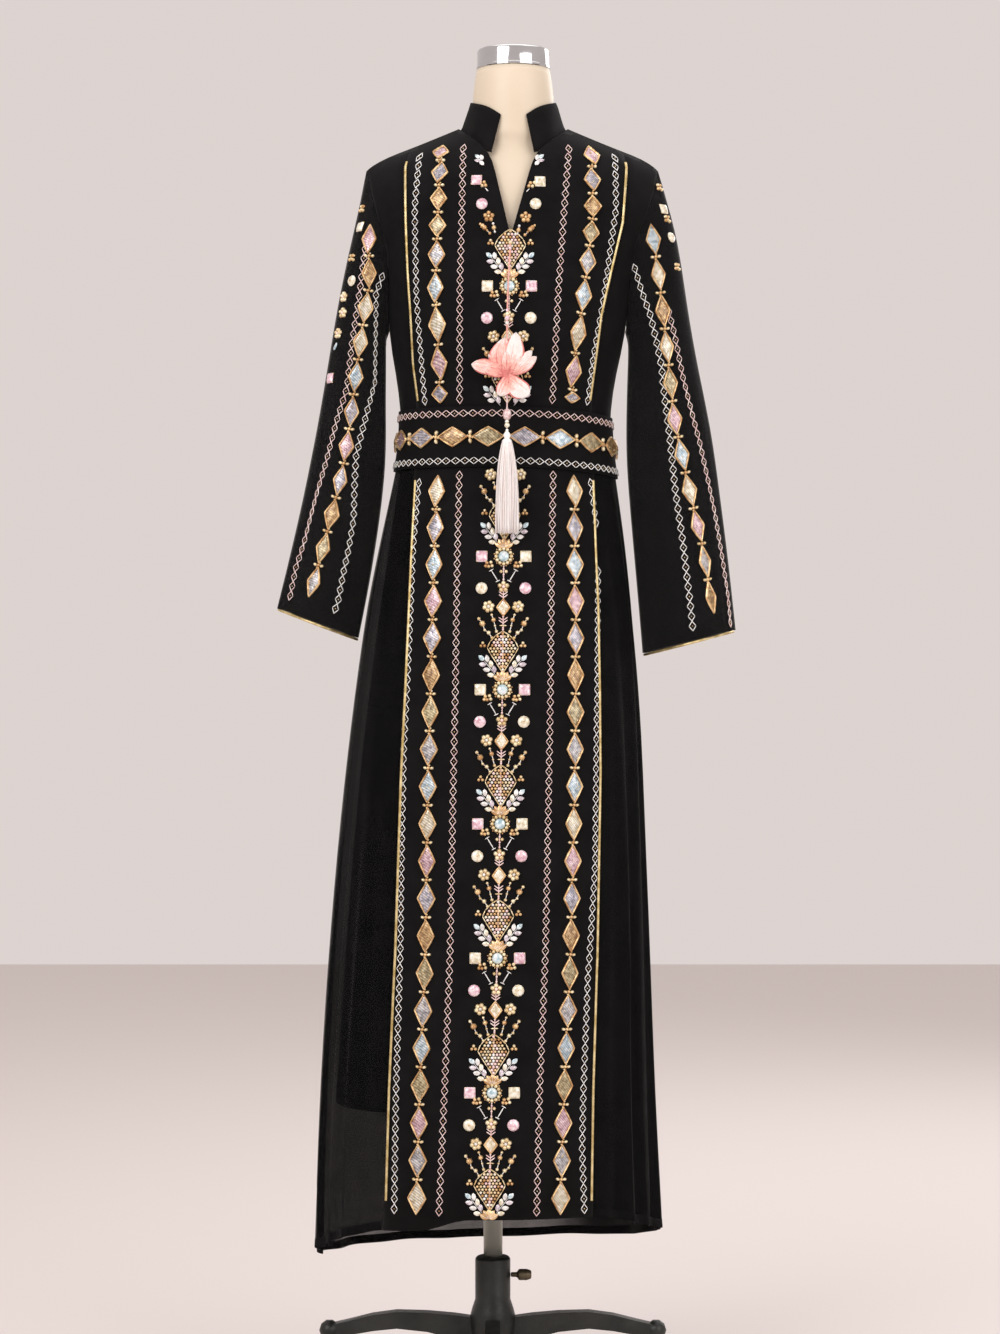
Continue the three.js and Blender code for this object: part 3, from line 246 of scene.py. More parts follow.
def colour_by(nodes, links, mask, socket, first, last, middle=None):
    """Colours a socket by a mask; each stop is a place from 0 to 1 and a colour."""
    ramp = nodes.new("ShaderNodeValToRGB")
    for element, (at, colour) in zip(ramp.color_ramp.elements, (first, last)):
        element.position = at
        element.color = (*colour, 1)
    if middle:
        ramp.color_ramp.elements.new(middle[0]).color = (*middle[1], 1)
    links.new(mask, ramp.inputs["Fac"])
    links.new(ramp.outputs["Color"], socket)


def map_range(nodes, links, mask, socket, low, high, mask_low=0.0, mask_high=1.0):
    """Spreads a mask over a range of values and feeds them to a socket."""
    span = nodes.new("ShaderNodeMapRange")
    for key, value in (("From Min", mask_low), ("From Max", mask_high), ("To Min", low), ("To Max", high)):
        span.inputs[key].default_value = value
    links.new(mask, span.inputs["Value"])
    links.new(span.outputs["Result"], socket)


def emboss(nodes, links, height, shader, strength, distance):
    raised = nodes.new("ShaderNodeBump")
    raised.inputs["Strength"].default_value = strength
    raised.inputs["Distance"].default_value = distance
    links.new(height, raised.inputs["Height"])
    links.new(raised.outputs["Normal"], shader.inputs["Normal"])


def black_cloth(name, dark, light, alpha, roughness, sheen, thread=620, bump=0.12, gathers=None):
    """Matt black cloth whose colour and openness change a little with its slub. Gathers give two places
    across the piece, in metres, between which the cloth closes up, and how much more opaque it gets."""
    material, nodes, links = new_material(name)
    shader = set_shader(
        nodes, Roughness=roughness, Sheen_Weight=sheen, Sheen_Roughness=0.45, Specular_IOR_Level=0.08,
    )
    cloth = place_group(nodes, weave, thread)
    colour_by(nodes, links, cloth.outputs["Slub"], shader.inputs["Base Color"], (0.3, dark), (0.75, light))
    emboss(nodes, links, cloth.outputs["Height"], shader, bump, 0.0006)
    openness = shader.inputs["Alpha"]
    if gathers:
        layered = nodes.new("ShaderNodeMath")
        layered.operation = "ADD"
        layered.use_clamp = True
        links.new(layered.outputs[0], openness)
        openness = layered.inputs[0]
        place = nodes.new("ShaderNodeTexCoord")
        across = nodes.new("ShaderNodeSeparateXYZ")
        links.new(place.outputs["Object"], across.inputs["Vector"])
        start, end, closed_by = gathers
        map_range(nodes, links, across.outputs["X"], layered.inputs[1], 0.0, closed_by, start, end)
    if alpha < 1:
        map_range(nodes, links, cloth.outputs["Slub"], openness, alpha - 0.07, alpha + 0.06, 0.2, 0.9)
    return material


def black_chiffon(name, alpha, sheen=0.03, gathers=None):
    return black_cloth(
        name, (0.0028, 0.0028, 0.003), (0.0052, 0.005, 0.0052), alpha, 0.9, sheen, 700, 0.1, gathers,
    )


crepe = black_cloth("black_crepe", (0.0042, 0.0038, 0.004), (0.0075, 0.0068, 0.0072), 1, 0.84, 0.03)
chiffon = black_chiffon("black_chiffon", 0.66)
folded_chiffon = black_chiffon("folded_chiffon", 0.9)
gathered_chiffon = black_chiffon("gathered_chiffon", 0.66, gathers=(0.05, 0.11, 0.27))
lining_cloth = black_cloth("black_lining", (0.004, 0.004, 0.004), (0.0065, 0.0063, 0.0065), 1, 0.7, 0.05)

# Creases: angle round the body from the front, + to the right, then width in degrees, rise in mm, and
# the height at which each begins and ends, in mm.
skirt_creases = [
    (-84, 3.0, 3.4, 1165, 240), (-74, 2.4, -2.6, 1130, 420), (-66, 2.8, 3.0, 1168, 560),
    (-58, 2.2, 2.6, 900, 250), (-52, 2.0, -2.2, 1160, 760), (58, 2.6, 3.2, 1165, 520),
    (64, 2.2, -2.4, 1120, 300), (72, 2.6, 3.3, 1168, 240), (80, 2.4, 2.6, 980, 240),
    (88, 2.6, -2.4, 1160, 600), (-104, 3.0, 3.0, 1165, 220), (-122, 3.4, 3.4, 1100, 240),
    (-138, 3.0, -2.6, 1165, 480), (-156, 3.4, 3.2, 1165, 200), (-171, 2.8, 2.8, 860, 200),
    (172, 3.0, 3.4, 1165, 330), (158, 3.2, -2.8, 1150, 220), (141, 3.4, 3.2, 1165, 420),
    (126, 3.0, 3.0, 930, 220), (110, 3.0, 3.3, 1165, 240),
]


def skirt_crease_rise(angle, z):
    rise = 0.0
    for at, wide, high, top, low in skirt_creases:
        away = (angle - at + 180) % 360 - 180
        if abs(away) < 3 * wide and low - 40 < z < top:
            start = min(1.0, (top - z) / 160)
            end = min(1.0, (z - low + 40) / 90)
            rise += high * math.exp(-((away / wide) ** 2)) * start * max(end, 0.0)
    return rise * MM


def crease_skirt(obj):
    for vertex in obj.data.vertices:
        x, y, z = vertex.co
        from_middle = Vector((x - middle_x(z / MM), y, 0))
        angle = math.degrees(math.atan2(from_middle.x, -from_middle.y))
        vertex.co += from_middle.normalized() * skirt_crease_rise(angle, z / MM)


front_skirt = fresh_mesh("skirt_front", "skirt_front_shell")
clothe(front_skirt, "skirt_front", crepe)
for hand in ("left", "right"):
    shell = fresh_mesh(f"skirt_side_{hand}", f"skirt_side_{hand}_shell", levels=2)
    crease_skirt(shell)
    side_cloth = chiffon if hand == "left" else folded_chiffon
    clothe(shell, f"skirt_side_{hand}", side_cloth)
back_skirt = fresh_mesh("skirt_back", "skirt_back_shell", levels=2)
crease_skirt(back_skirt)
clothe(back_skirt, "skirt_back", gathered_chiffon)
clothe(fresh_mesh("skirt_lining", "skirt_lining_shell"), "skirt_lining", lining_cloth)

front_bodice = fresh_mesh("bodice_front", "bodice_front_shell")
clothe(front_bodice, "bodice_front", crepe)
for hand in ("left", "right"):
    shell = fresh_mesh(f"bodice_side_{hand}", f"bodice_side_{hand}_shell")
    clothe(shell, f"bodice_side_{hand}", crepe)
back_bodice = fresh_mesh("bodice_back", "bodice_back_shell")
clothe(back_bodice, "bodice_back", crepe)
collar_shell = fresh_mesh("collar", "collar_shell", levels=2)
bodice_cloth = BVHTree.FromObject(front_bodice, bpy.context.evaluated_depsgraph_get())
for vertex in collar_shell.data.vertices:
    sewn_to, _, _, away = bodice_cloth.find_nearest(vertex.co)
    if away < 0.0026:
        vertex.co = vertex.co.lerp(sewn_to, 0.9)
clothe(collar_shell, "collar", crepe)
belt_shell = fresh_mesh("belt", "belt_shell", levels=2)
clothe(belt_shell, "belt", crepe)

# Sleeves.
# Long bell sleeves of one layer of chiffon, set into the armholes and cut wider towards the cuff,
# where the cloth falls in narrow soft folds that fade out on the way up to the shoulder.
sleeve_chiffon = black_chiffon("sleeve_chiffon", 0.72, 0.02)
# Folds: angle round the sleeve, width in degrees, rise in mm and the height where each fades out, in mm.
sleeve_folds = [
    (-150, 7, 2.6, 1480), (-118, 6, -2.2, 1300), (-92, 7, 2.4, 1450), (-64, 6, 2.4, 1240),
    (-40, 7, -2.4, 1380), (-12, 7, 2.2, 1180), (22, 8, 2.2, 1420), (52, 6, -2.2, 1260),
    (80, 7, 2.6, 1480), (108, 6, 2.2, 1150), (138, 7, -2.4, 1360), (166, 7, 2.4, 1470),
]
sleeve_middles = {
    "left": [
        (965, -217, -16), (1062, -203, -14), (1140, -188, -12), (1226, -176, -10), (1316, -169, -8),
        (1475, -154, -4),
    ],
    "right": [
        (946, 244, -16), (1062, 236, -14), (1140, 228, -12), (1226, 219, -10), (1316, 210, -8),
        (1475, 200, -4),
    ],
}
armhole_cloths = [
    BVHTree.FromObject(bpy.data.objects[name], bpy.context.evaluated_depsgraph_get())
    for name in (
        "bodice_front_shell", "bodice_back_shell", "bodice_side_left_shell", "bodice_side_right_shell",
    )
]
armhole_low, sewn_gap, free_gap = 1250, 0.003, 0.005
for hand in ("left", "right"):
    shell = fresh_mesh(f"sleeve_{hand}", f"sleeve_{hand}_shell", levels=2)
    for vertex in shell.data.vertices:
        z = vertex.co.z / MM
        axis_x = between(sleeve_middles[hand], z) * MM + shift_x
        axis_y = between(sleeve_middles[hand], z, 2) * MM
        away = Vector((vertex.co.x - axis_x, vertex.co.y - axis_y, 0))
        angle = math.degrees(math.atan2(away.x, -away.y))
        rise = 0.0
        for at, wide, high, top in sleeve_folds:
            off = (angle - at + 180) % 360 - 180
            if z < top:
                rise += high * math.exp(-((off / wide) ** 2)) * min(1.0, (top - z) / 260)
        vertex.co += away.normalized() * rise * MM
        if z > armhole_low:
            hits = [tree.find_nearest(vertex.co) for tree in armhole_cloths]
            seam_place, _, _, gap = min(hits, key=lambda hit: hit[3])
            if gap < free_gap:
                held = 1 - max(0.0, gap - sewn_gap) / 0.002
                vertex.co = vertex.co.lerp(seam_place, held)
    clothe(shell, f"sleeve_{hand}", sleeve_chiffon)

# Dress form, neck cap, pole and base.
# The form is a smooth ivory torso that ends in a neck under a polished cap; it stands on a dull metal tube
# in a dark cast-iron hub with a thumb screw and four arms on round feet.
def wear_group():
    """Broad and fine unevenness for moulded and cast surfaces."""
    group, inside, outside, coords = new_group("surface_wear", "Broad", "Fine")
    n, l = group.nodes, group.links
    for label, factor, detail in (("Broad", 1, 4), ("Fine", 14, 8)):
        scaled = n.new("ShaderNodeMath")
        scaled.operation = "MULTIPLY"
        scaled.inputs[1].default_value = factor
        noise = n.new("ShaderNodeTexNoise")
        noise.inputs["Detail"].default_value = detail
        l.new(inside.outputs["Scale"], scaled.inputs[0])
        l.new(scaled.outputs[0], noise.inputs["Scale"])
        l.new(coords.outputs["Object"], noise.inputs["Vector"])
        l.new(noise.outputs["Fac"], outside.inputs[label])
    return group


wear = wear_group()


def wear_in(nodes, links, shader, scale, dark, light, rough_low, rough_high, edge=0.35):
    """Colours a surface by its broad wear and roughens it by its fine wear; gives the fine wear's socket."""
    uneven = place_group(nodes, wear, scale)
    broad, fine = uneven.outputs["Broad"], uneven.outputs["Fine"]
    colour_by(nodes, links, broad, shader.inputs["Base Color"], (edge, dark), (1 - edge, light))
    map_range(nodes, links, fine, shader.inputs["Roughness"], rough_low, rough_high)
    return fine


def worn_surface(name, dark, light, metallic, rough_low, rough_high, scale, bump, coat=0.0):
    material, nodes, links = new_material(name)
    shader = set_shader(nodes, Metallic=metallic, Coat_Weight=coat, Coat_Roughness=0.25)
    fine = wear_in(nodes, links, shader, scale, dark, light, rough_low, rough_high)
    emboss(nodes, links, fine, shader, bump, 0.001)
    return material


ivory = worn_surface("form_ivory", (0.68, 0.57, 0.43), (0.74, 0.63, 0.49), 0, 0.42, 0.6, 7, 0.04, 0.1)
polished = worn_surface("cap_polish", (0.5, 0.5, 0.51), (0.64, 0.64, 0.65), 1, 0.05, 0.16, 9, 0.02)
dull_tube = worn_surface("pole_metal", (0.34, 0.34, 0.29), (0.48, 0.47, 0.41), 0.6, 0.34, 0.54, 14, 0.05)
dull_brass = worn_surface("screw_brass", (0.1, 0.08, 0.05), (0.24, 0.19, 0.12), 0.8, 0.35, 0.55, 40, 0.1)
cast_iron = worn_surface("base_iron", (0.011, 0.012, 0.011), (0.028, 0.029, 0.026), 0.4, 0.28, 0.5, 22, 0.35)

form_skin = fresh_mesh("form_torso", "form_torso_skin", levels=2, sharp=50)
finish(form_skin, "form_torso", ivory)
finish(fresh_mesh("pole", "pole_tube", levels=1, sharp=50), "pole", dull_tube)
hub_low, hub_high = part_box("hub")
hub_x, hub_y = (hub_low[0] + hub_high[0]) / 2, (hub_low[1] + hub_high[1]) / 2
leg_reach = 0.004
for node in ("hub", "thumb_screw", "leg_right", "leg_left", "leg_front", "leg_back"):
    casting = fresh_mesh(node, f"{node}_casting", levels=0, sharp=35)
    if node.startswith("leg"):
        reach = [math.hypot(vertex.co.x - hub_x, vertex.co.y - hub_y) for vertex in casting.data.vertices]
        for vertex, away in zip(casting.data.vertices, reach):
            if away < min(reach) + leg_reach:
                vertex.co.x += (hub_x - vertex.co.x) / away * leg_reach
                vertex.co.y += (hub_y - vertex.co.y) / away * leg_reach
    rounded = casting.modifiers.new("rounded", "BEVEL")
    rounded.width = 0.0016
    rounded.segments = 2
    rounded.limit_method = "ANGLE"
    rounded.angle_limit = math.radians(35)
    casting.data.shade_smooth()
    finish(casting, node, dull_brass if node == "thumb_screw" else cast_iron)

cap_low, cap_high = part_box("neck_cap")
cap_centre = [(a + b) / 2 for a, b in zip(cap_low, cap_high)]
cap_radius = (cap_high[0] - cap_low[0]) / 2
cap_profile = [
    (0, 0), (cap_radius - 0.0008, 0), (cap_radius, 0.0008), (cap_radius, 0.003),
    (cap_radius - 0.0009, 0.004), (cap_radius - 0.0009, 0.0215), (cap_radius - 0.002, 0.0238),
    (cap_radius - 0.005, 0.0252), (cap_radius * 0.5, 0.0258), (0, 0.026),
]


def turned(name, profile, centre, around=64):
    """A solid turned round an upright axis from (radius, height) pairs that start and end on the axis."""
    rings, verts, faces = [], [], []
    for radius, height in profile:
        if radius == 0:
            rings.append([len(verts)])
            verts.append((centre[0], centre[1], centre[2] + height))
            continue
        rings.append(list(range(len(verts), len(verts) + around)))
        for k in range(around):
            a = 2 * math.pi * k / around
            x, y = radius * math.cos(a), radius * math.sin(a)
            verts.append((centre[0] + x, centre[1] + y, centre[2] + height))
    for low, high in zip(rings, rings[1:]):
        for k in range(around):
            a, b = low[k % len(low)], low[(k + 1) % len(low)]
            c, d = high[(k + 1) % len(high)], high[k % len(high)]
            face = [i for n, i in enumerate((a, b, c, d)) if i not in (a, b, c, d)[:n]]
            if len(face) > 2:
                faces.append(face)
    obj = new_object(name, verts, faces)
    obj.data.set_sharp_from_angle(angle=math.radians(40))
    return obj


neck_cap = turned("neck_cap_polished", cap_profile, (cap_centre[0], cap_centre[1], cap_low[2]))
finish(neck_cap, "neck_cap", polished)

# Gold piping.
# A gold braid, wound from fine slanting strands over a soft core, is couched along both edges of the front
# panels and round the slanting hems of the sleeves.
piping_edge = [
    (230, 127, 126), (560, 126, 123), (800, 123, 123), (1000, 117, 118), (1173, 112, 109),
    (1247, 110, 103), (1300, 118, 109), (1358, 122, 115), (1413, 127, 126), (1474, 131, 139),
    (1545, 134, 143), (1577, 128, 138),
]
piping_inset = 2.5
front_side = {"left": -1, "right": 1}


def surface_tree(*shells):
    """One search tree of the surfaces that trimmings lie on."""
    verts, faces = [], []
    for shell in shells:
        start = len(verts)
        verts += [v.co.copy() for v in shell.data.vertices]
        faces += [[start + i for i in face.vertices] for face in shell.data.polygons]
    return BVHTree.FromPolygons(verts, faces)


def seat(tree, x, z, lift=0.0):
    """The place and outward direction of the cloth behind a point of the front view."""
    place, normal, _, _ = tree.ray_cast(Vector((x, -1, z)), Vector((0, 1, 0)))
    if place is None:
        return None, None
    if normal.y > 0:
        normal = -normal
    return place + normal * lift, normal


def seated_path(tree, points, lift):
    """Seats every point that has cloth behind it; gives places and directions."""
    found = [seat(tree, x, z, lift) for x, z in points]
    found = [(place, normal) for place, normal in found if place is not None]
    return [place for place, _ in found], [normal for _, normal in found]


def evened(values, rounds=4):
    for _ in range(rounds):
        inner = [(a + b * 2 + c) / 4 for a, b, c in zip(values, values[1:], values[2:])]
        values = [values[0], *inner, values[-1]]
    return values


def braid(places, normals, wide, high, pitch=0.0042, strands=3, around=10, closed=False):
    """A wound cord as mesh: an oval tube whose strands swell and turn as it runs."""
    verts, faces = [], []
    run = 0.0
    count = len(places)
    for k, (place, normal) in enumerate(zip(places, normals)):
        before = places[(k - 1) % count] if closed or k else place
        after = places[(k + 1) % count] if closed or k < count - 1 else place
        along = (after - before).normalized()
        side = along.cross(normal).normalized()
        if k:
            run += (place - places[k - 1]).length
        for step in range(around):
            a = 2 * math.pi * step / around
            swell = 1 + 0.1 * math.cos(strands * (a - 2 * math.pi * run / (pitch * strands)))
            verts.append(place + (side * math.cos(a) * wide + normal * math.sin(a) * high) * swell)
    rings = count if closed else count - 1
    for k in range(rings):
        for step in range(around):
            a, b = k * around + step, k * around + (step + 1) % around
            c = ((k + 1) % count) * around
            faces.append((a, c + step, c + (step + 1) % around, b))
    if not closed:
        faces.append(tuple(range(around)))
        faces.append(tuple(reversed(range((count - 1) * around, count * around))))
    return verts, faces


def metal_thread(name, dark, light, rough_low=0.26, rough_high=0.46, grain=90, metallic=0.85):
    """Metal-wrapped thread: bright on its turns and darker between them."""
    material, nodes, links = new_material(name)
    shader = set_shader(nodes, Metallic=metallic)
    wear_in(nodes, links, shader, grain, dark, light, rough_low, rough_high, edge=0.38)
    return material


gold_braid = metal_thread("gold_braid", (0.5, 0.36, 0.14), (0.8, 0.66, 0.36), 0.34, 0.5)


def trim(name, verts, faces, materials, node=None, tints=None, smooth=True):
    """One piece of trimming; tints give the material number of each face where there are several."""
    obj = new_object(name, verts, faces, smooth)
    for material in materials:
        obj.data.materials.append(material)
    if tints:
        obj.data.polygons.foreach_set("material_index", tints)
    if node:
        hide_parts(node)
    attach(obj, "root")
    return obj


def curve(before, here, after, beyond, steps):
    """Points of a smooth curve from here up to, but not at, the next point."""
    points = []
    for step in range(steps):
        t = step / steps
        points.append(
            0.5 * (2 * here + (after - before) * t + (2 * before - 5 * here + 4 * after - beyond) * t * t
                   + (3 * here - before - 3 * after + beyond) * t ** 3)
        )
    return points


piping_step = 1.1
for part, low, high, shell in (("bodice", 1256, 1552, front_bodice), ("skirt", 285, 1158, front_skirt)):
    tree = surface_tree(shell)
    steps = int((high - low) / piping_step)
    for column, hand in enumerate(("left", "right"), 1):
        points = []
        for k in range(steps + 1):
            z = low + (high - low) * k / steps
            x = middle_x(z) + front_side[hand] * (between(piping_edge, z, column) - piping_inset) * MM
            points.append((x, z * MM))
        places, normals = seated_path(tree, points, 0.0011)
        verts, faces = braid(evened(places), evened(normals), 0.0017, 0.0013)
        node = f"{part}_piping_{hand}"
        trim(f"{node}_braid", verts, faces, [gold_braid], node)

cuff_wide, cuff_deep, cuff_spots = 0.05, 0.066, 24
for hand in ("left", "right"):
    band = frame["nodes"][f"cuff_piping_{hand}"].data
    middle = sum((v.co for v in band.vertices), Vector()) / len(band.vertices)
    by_angle = {}
    for vertex in band.vertices:
        away = vertex.co - middle
        angle = math.degrees(math.atan2(away.x / cuff_wide, -away.y / cuff_deep))
        by_angle.setdefault(round(angle / 360 * cuff_spots) % cuff_spots, []).append(vertex.co)
    ring = [sum(spots, Vector()) / len(spots) for _, spots in sorted(by_angle.items())]
    fine = []
    for k, here in enumerate(ring):
        after, beyond = ring[(k + 1) % len(ring)], ring[(k + 2) % len(ring)]
        fine += curve(ring[k - 1], here, after, beyond, 16)
    outward = [Vector((p.x - middle.x, p.y - middle.y, 0)).normalized() for p in fine]
    verts, faces = braid(fine, outward, 0.0015, 0.0013, closed=True)
    node = f"cuff_piping_{hand}"
    trim(f"{node}_braid", verts, faces, [gold_braid], node)

# Turned hems.
# The sheer back and sides of the skirt end in a hem that is turned over twice, so that a band
# about a centimetre wide along the edge is almost opaque.
hem_cloth = black_chiffon("turned_hem", 0.95)
hem_middle, hem_top, hem_search = middle_x(300), 0.4, 0.006
hem_rows = (0.0004, 0.0036, 0.0072, 0.0108)
for part in ("skirt_back", "skirt_side_left", "skirt_side_right"):
    shell = bpy.data.objects[f"{part}_shell"]
    tree = surface_tree(shell)
    lowest = {}
    for vertex in shell.data.vertices:
        column = round(math.degrees(math.atan2(vertex.co.x - hem_middle, vertex.co.y)) / 3)
        if column not in lowest or vertex.co.z < lowest[column].z:
            lowest[column] = vertex.co.copy()
    columns = [lowest[column] for column in sorted(lowest) if lowest[column].z < hem_top]
    verts, faces = [], []
    for corner in columns:
        outward = Vector((corner.x - hem_middle, corner.y, 0)).normalized()
        for up in hem_rows:
            place, normal, _, _ = tree.find_nearest(corner + outward * hem_search + Vector((0, 0, up)))
            if normal.dot(outward) < 0.3:
                normal = outward
            verts.append(place + normal * 0.0005)
    for k in range(len(columns) - 1):
        for step in range(len(hem_rows) - 1):
            a, b = k * len(hem_rows) + step, (k + 1) * len(hem_rows) + step
            faces.append((a, a + 1, b + 1, b))
    band = trim(f"{part}_hem_band", verts, faces, [hem_cloth])
    thick = band.modifiers.new("turned", "SOLIDIFY")
    thick.thickness = 0.0006

# Chains of bead diamonds.
# Each diamond is a pleated pearly sequin cloth in a rim of copper-gold beads, couched to the panel; a bow
# of three gold beads links it to the next. The cloth changes colour down the chain in a round of seven.
diamond_line = [
    (250, 87, 85), (560, 86.5, 87.5), (800, 87.5, 89), (1000, 85, 87.5), (1160, 82.7, 83.7),
    (1255, 81.5, 79), (1300, 83, 80), (1390, 89.5, 91), (1480, 89, 99.5), (1575, 88, 96.5),
]


class Beadwork:
    """Gathers small beads, stones and stitches into one mesh, each face with the number of its material."""

    def __init__(self):
        self.verts, self.faces, self.tints, self.round = [], [], [], []

    def add(self, verts, faces, tint, soft=True):
        start = len(self.verts)
        self.verts += verts
        self.faces += [[start + i for i in face] for face in faces]
        self.tints += [tint] * len(faces)
        self.round += [soft] * len(faces)

    def sew(self, name, materials, node=None):
        obj = trim(name, self.verts, self.faces, materials, node, self.tints)
        obj.data.polygons.foreach_set("use_smooth", self.round)
        return obj


class Spot:
    """A place on the cloth with its own across, up and out directions, turned by an angle in degrees."""

    def __init__(self, place, normal, turn=0.0):
        self.place, self.out = place, normal
        up = Vector((0, 0, 1))
        up = (up - normal * normal.dot(up)).normalized()
        across = up.cross(normal)
        c, s = math.cos(math.radians(turn)), math.sin(math.radians(turn))
        self.across = across * c - up * s
        self.up = up * c + across * s

    def at(self, across, up, out=0.0):
        return self.place + self.across * across + self.up * up + self.out * out


def spot_on(tree, x, z, lift, turn=0.0):
    """The spot on the cloth behind a point of the front view, or None where there is no cloth."""
    place, normal = seat(tree, x, z, lift)
    return None if place is None else Spot(place, normal, turn)


def ring_faces(rings, around):
    """The faces between rings of points that lie inside one another."""
    faces = []
    for ring in range(rings - 1):
        low, high = ring * around, (ring + 1) * around
        for k in range(around):
            n = (k + 1) % around
            faces.append((low + k, low + n, high + n, high + k))
    return faces


def bead(work, spot, across, up, radius, tint, high=0.8, around=7, long=1.0, turn=0.0):
    """A round or drawn-out bead, half sunk in its stitches."""
    verts = []
    c, s = math.cos(math.radians(turn)), math.sin(math.radians(turn))
    for share, rise in ((1.0, 0.0), (0.92, 0.5), (0.6, 0.85)):
        for k in range(around):
            a = 2 * math.pi * k / around
            p, q = radius * share * math.cos(a), radius * share * math.sin(a) * long
            out = radius * high * (rise * 1.9 - 0.25)
            verts.append(spot.at(across + p * c + q * s, up + q * c - p * s, out))
    verts.append(spot.at(across, up, radius * high * 1.62))
    faces = ring_faces(3, around)
    for k in range(around):
        faces.append((2 * around + k, 2 * around + (k + 1) % around, 3 * around))
    work.add(verts, faces, tint)


def stitch(work, spot, start, end, wide, tint, high=0.0007):
    """A laid thread from one point to another: a low ridge with pointed ends."""
    way = Vector((end[0] - start[0], end[1] - start[1]))
    side = Vector((-way.y, way.x)).normalized() * wide / 2
    verts, faces = [], []
    for share, spread in ((0.0, 0.35), (0.25, 1.0), (0.75, 1.0), (1.0, 0.35)):
        x, y = start[0] + way.x * share, start[1] + way.y * share
        for part, rise in ((-1, 0.0), (0, 1.0), (1, 0.0)):
            out = high * (rise * spread + 0.12)
            verts.append(spot.at(x + side.x * part * spread, y + side.y * part * spread, out))
    for k in range(3):
        a = k * 3
        faces += [(a + 1, a, a + 3, a + 4), (a + 2, a + 1, a + 4, a + 5)]
    work.add(verts, faces, tint)


def pearly(name, low, mid, high, metallic=0.35, rough=0.3, ribs=0.0):
    """Sequin cloth or faceted glass: its colour breaks into small patches, its gloss is uneven, and the
    cloth is ribbed on the slant."""
    material, nodes, links = new_material(name)
    shader = set_shader(nodes, Metallic=metallic, Coat_Weight=0.5, Coat_Roughness=0.16)
    uneven = place_group(nodes, wear, 210)
    patches = uneven.outputs["Broad"]
    colour = shader.inputs["Base Color"]
    if ribs:
        slant = nodes.new("ShaderNodeTexWave")
        slant.bands_direction = "DIAGONAL"
        slant.inputs["Scale"].default_value = 170
        slant.inputs["Distortion"].default_value = 1.6
        coords = nodes.new("ShaderNodeTexCoord")
        links.new(coords.outputs["Object"], slant.inputs["Vector"])
        shade = nodes.new("ShaderNodeMix")
        shade.data_type = "RGBA"
        shade.blend_type = "MULTIPLY"
        shade.inputs["Factor"].default_value = ribs
        links.new(slant.outputs["Color"], shade.inputs["B"])
        links.new(shade.outputs["Result"], colour)
        colour = shade.inputs["A"]
    colour_by(nodes, links, patches, colour, (0.36, low), (0.66, high), (0.5, mid))
    map_range(nodes, links, uneven.outputs["Fine"], shader.inputs["Roughness"], rough - 0.12, rough + 0.16)
    emboss(nodes, links, patches, shader, 0.35, 0.0004)
    return material


copper_beads = metal_thread("copper_gold_beads", (0.5, 0.27, 0.11), (0.9, 0.64, 0.34), 0.2, 0.38, 140, 0.55)
gold_beads = metal_thread("pale_gold_beads", (0.66, 0.48, 0.24), (0.96, 0.84, 0.58), 0.18, 0.36, 140, 0.5)
pearly_cloths = [
    pearly("sequin_pink_lilac", (0.4, 0.24, 0.28), (0.68, 0.44, 0.49), (0.92, 0.72, 0.76), ribs=0.5),
    pearly("sequin_silver_lilac", (0.26, 0.25, 0.31), (0.5, 0.47, 0.52), (0.8, 0.76, 0.82), ribs=0.5),
    pearly("sequin_brown_gold", (0.26, 0.14, 0.06), (0.5, 0.3, 0.13), (0.78, 0.55, 0.27), ribs=0.5),
    pearly("sequin_olive_gold", (0.25, 0.19, 0.1), (0.47, 0.38, 0.21), (0.76, 0.65, 0.41), ribs=0.5),
    pearly("sequin_silver_grey", (0.27, 0.26, 0.28), (0.5, 0.48, 0.49), (0.8, 0.77, 0.77), ribs=0.5),
    pearly("sequin_pale_blue", (0.3, 0.4, 0.47), (0.55, 0.65, 0.71), (0.86, 0.92, 0.94), ribs=0.5),
    pearly("sequin_cream", (0.52, 0.44, 0.3), (0.76, 0.68, 0.52), (0.95, 0.9, 0.8), ribs=0.5),
]
rim_tint, gold_tint, first_cloth_tint = 0, 1, 2
chain_lift = 0.0009
diamond_finishes = [copper_beads, gold_beads] + pearly_cloths


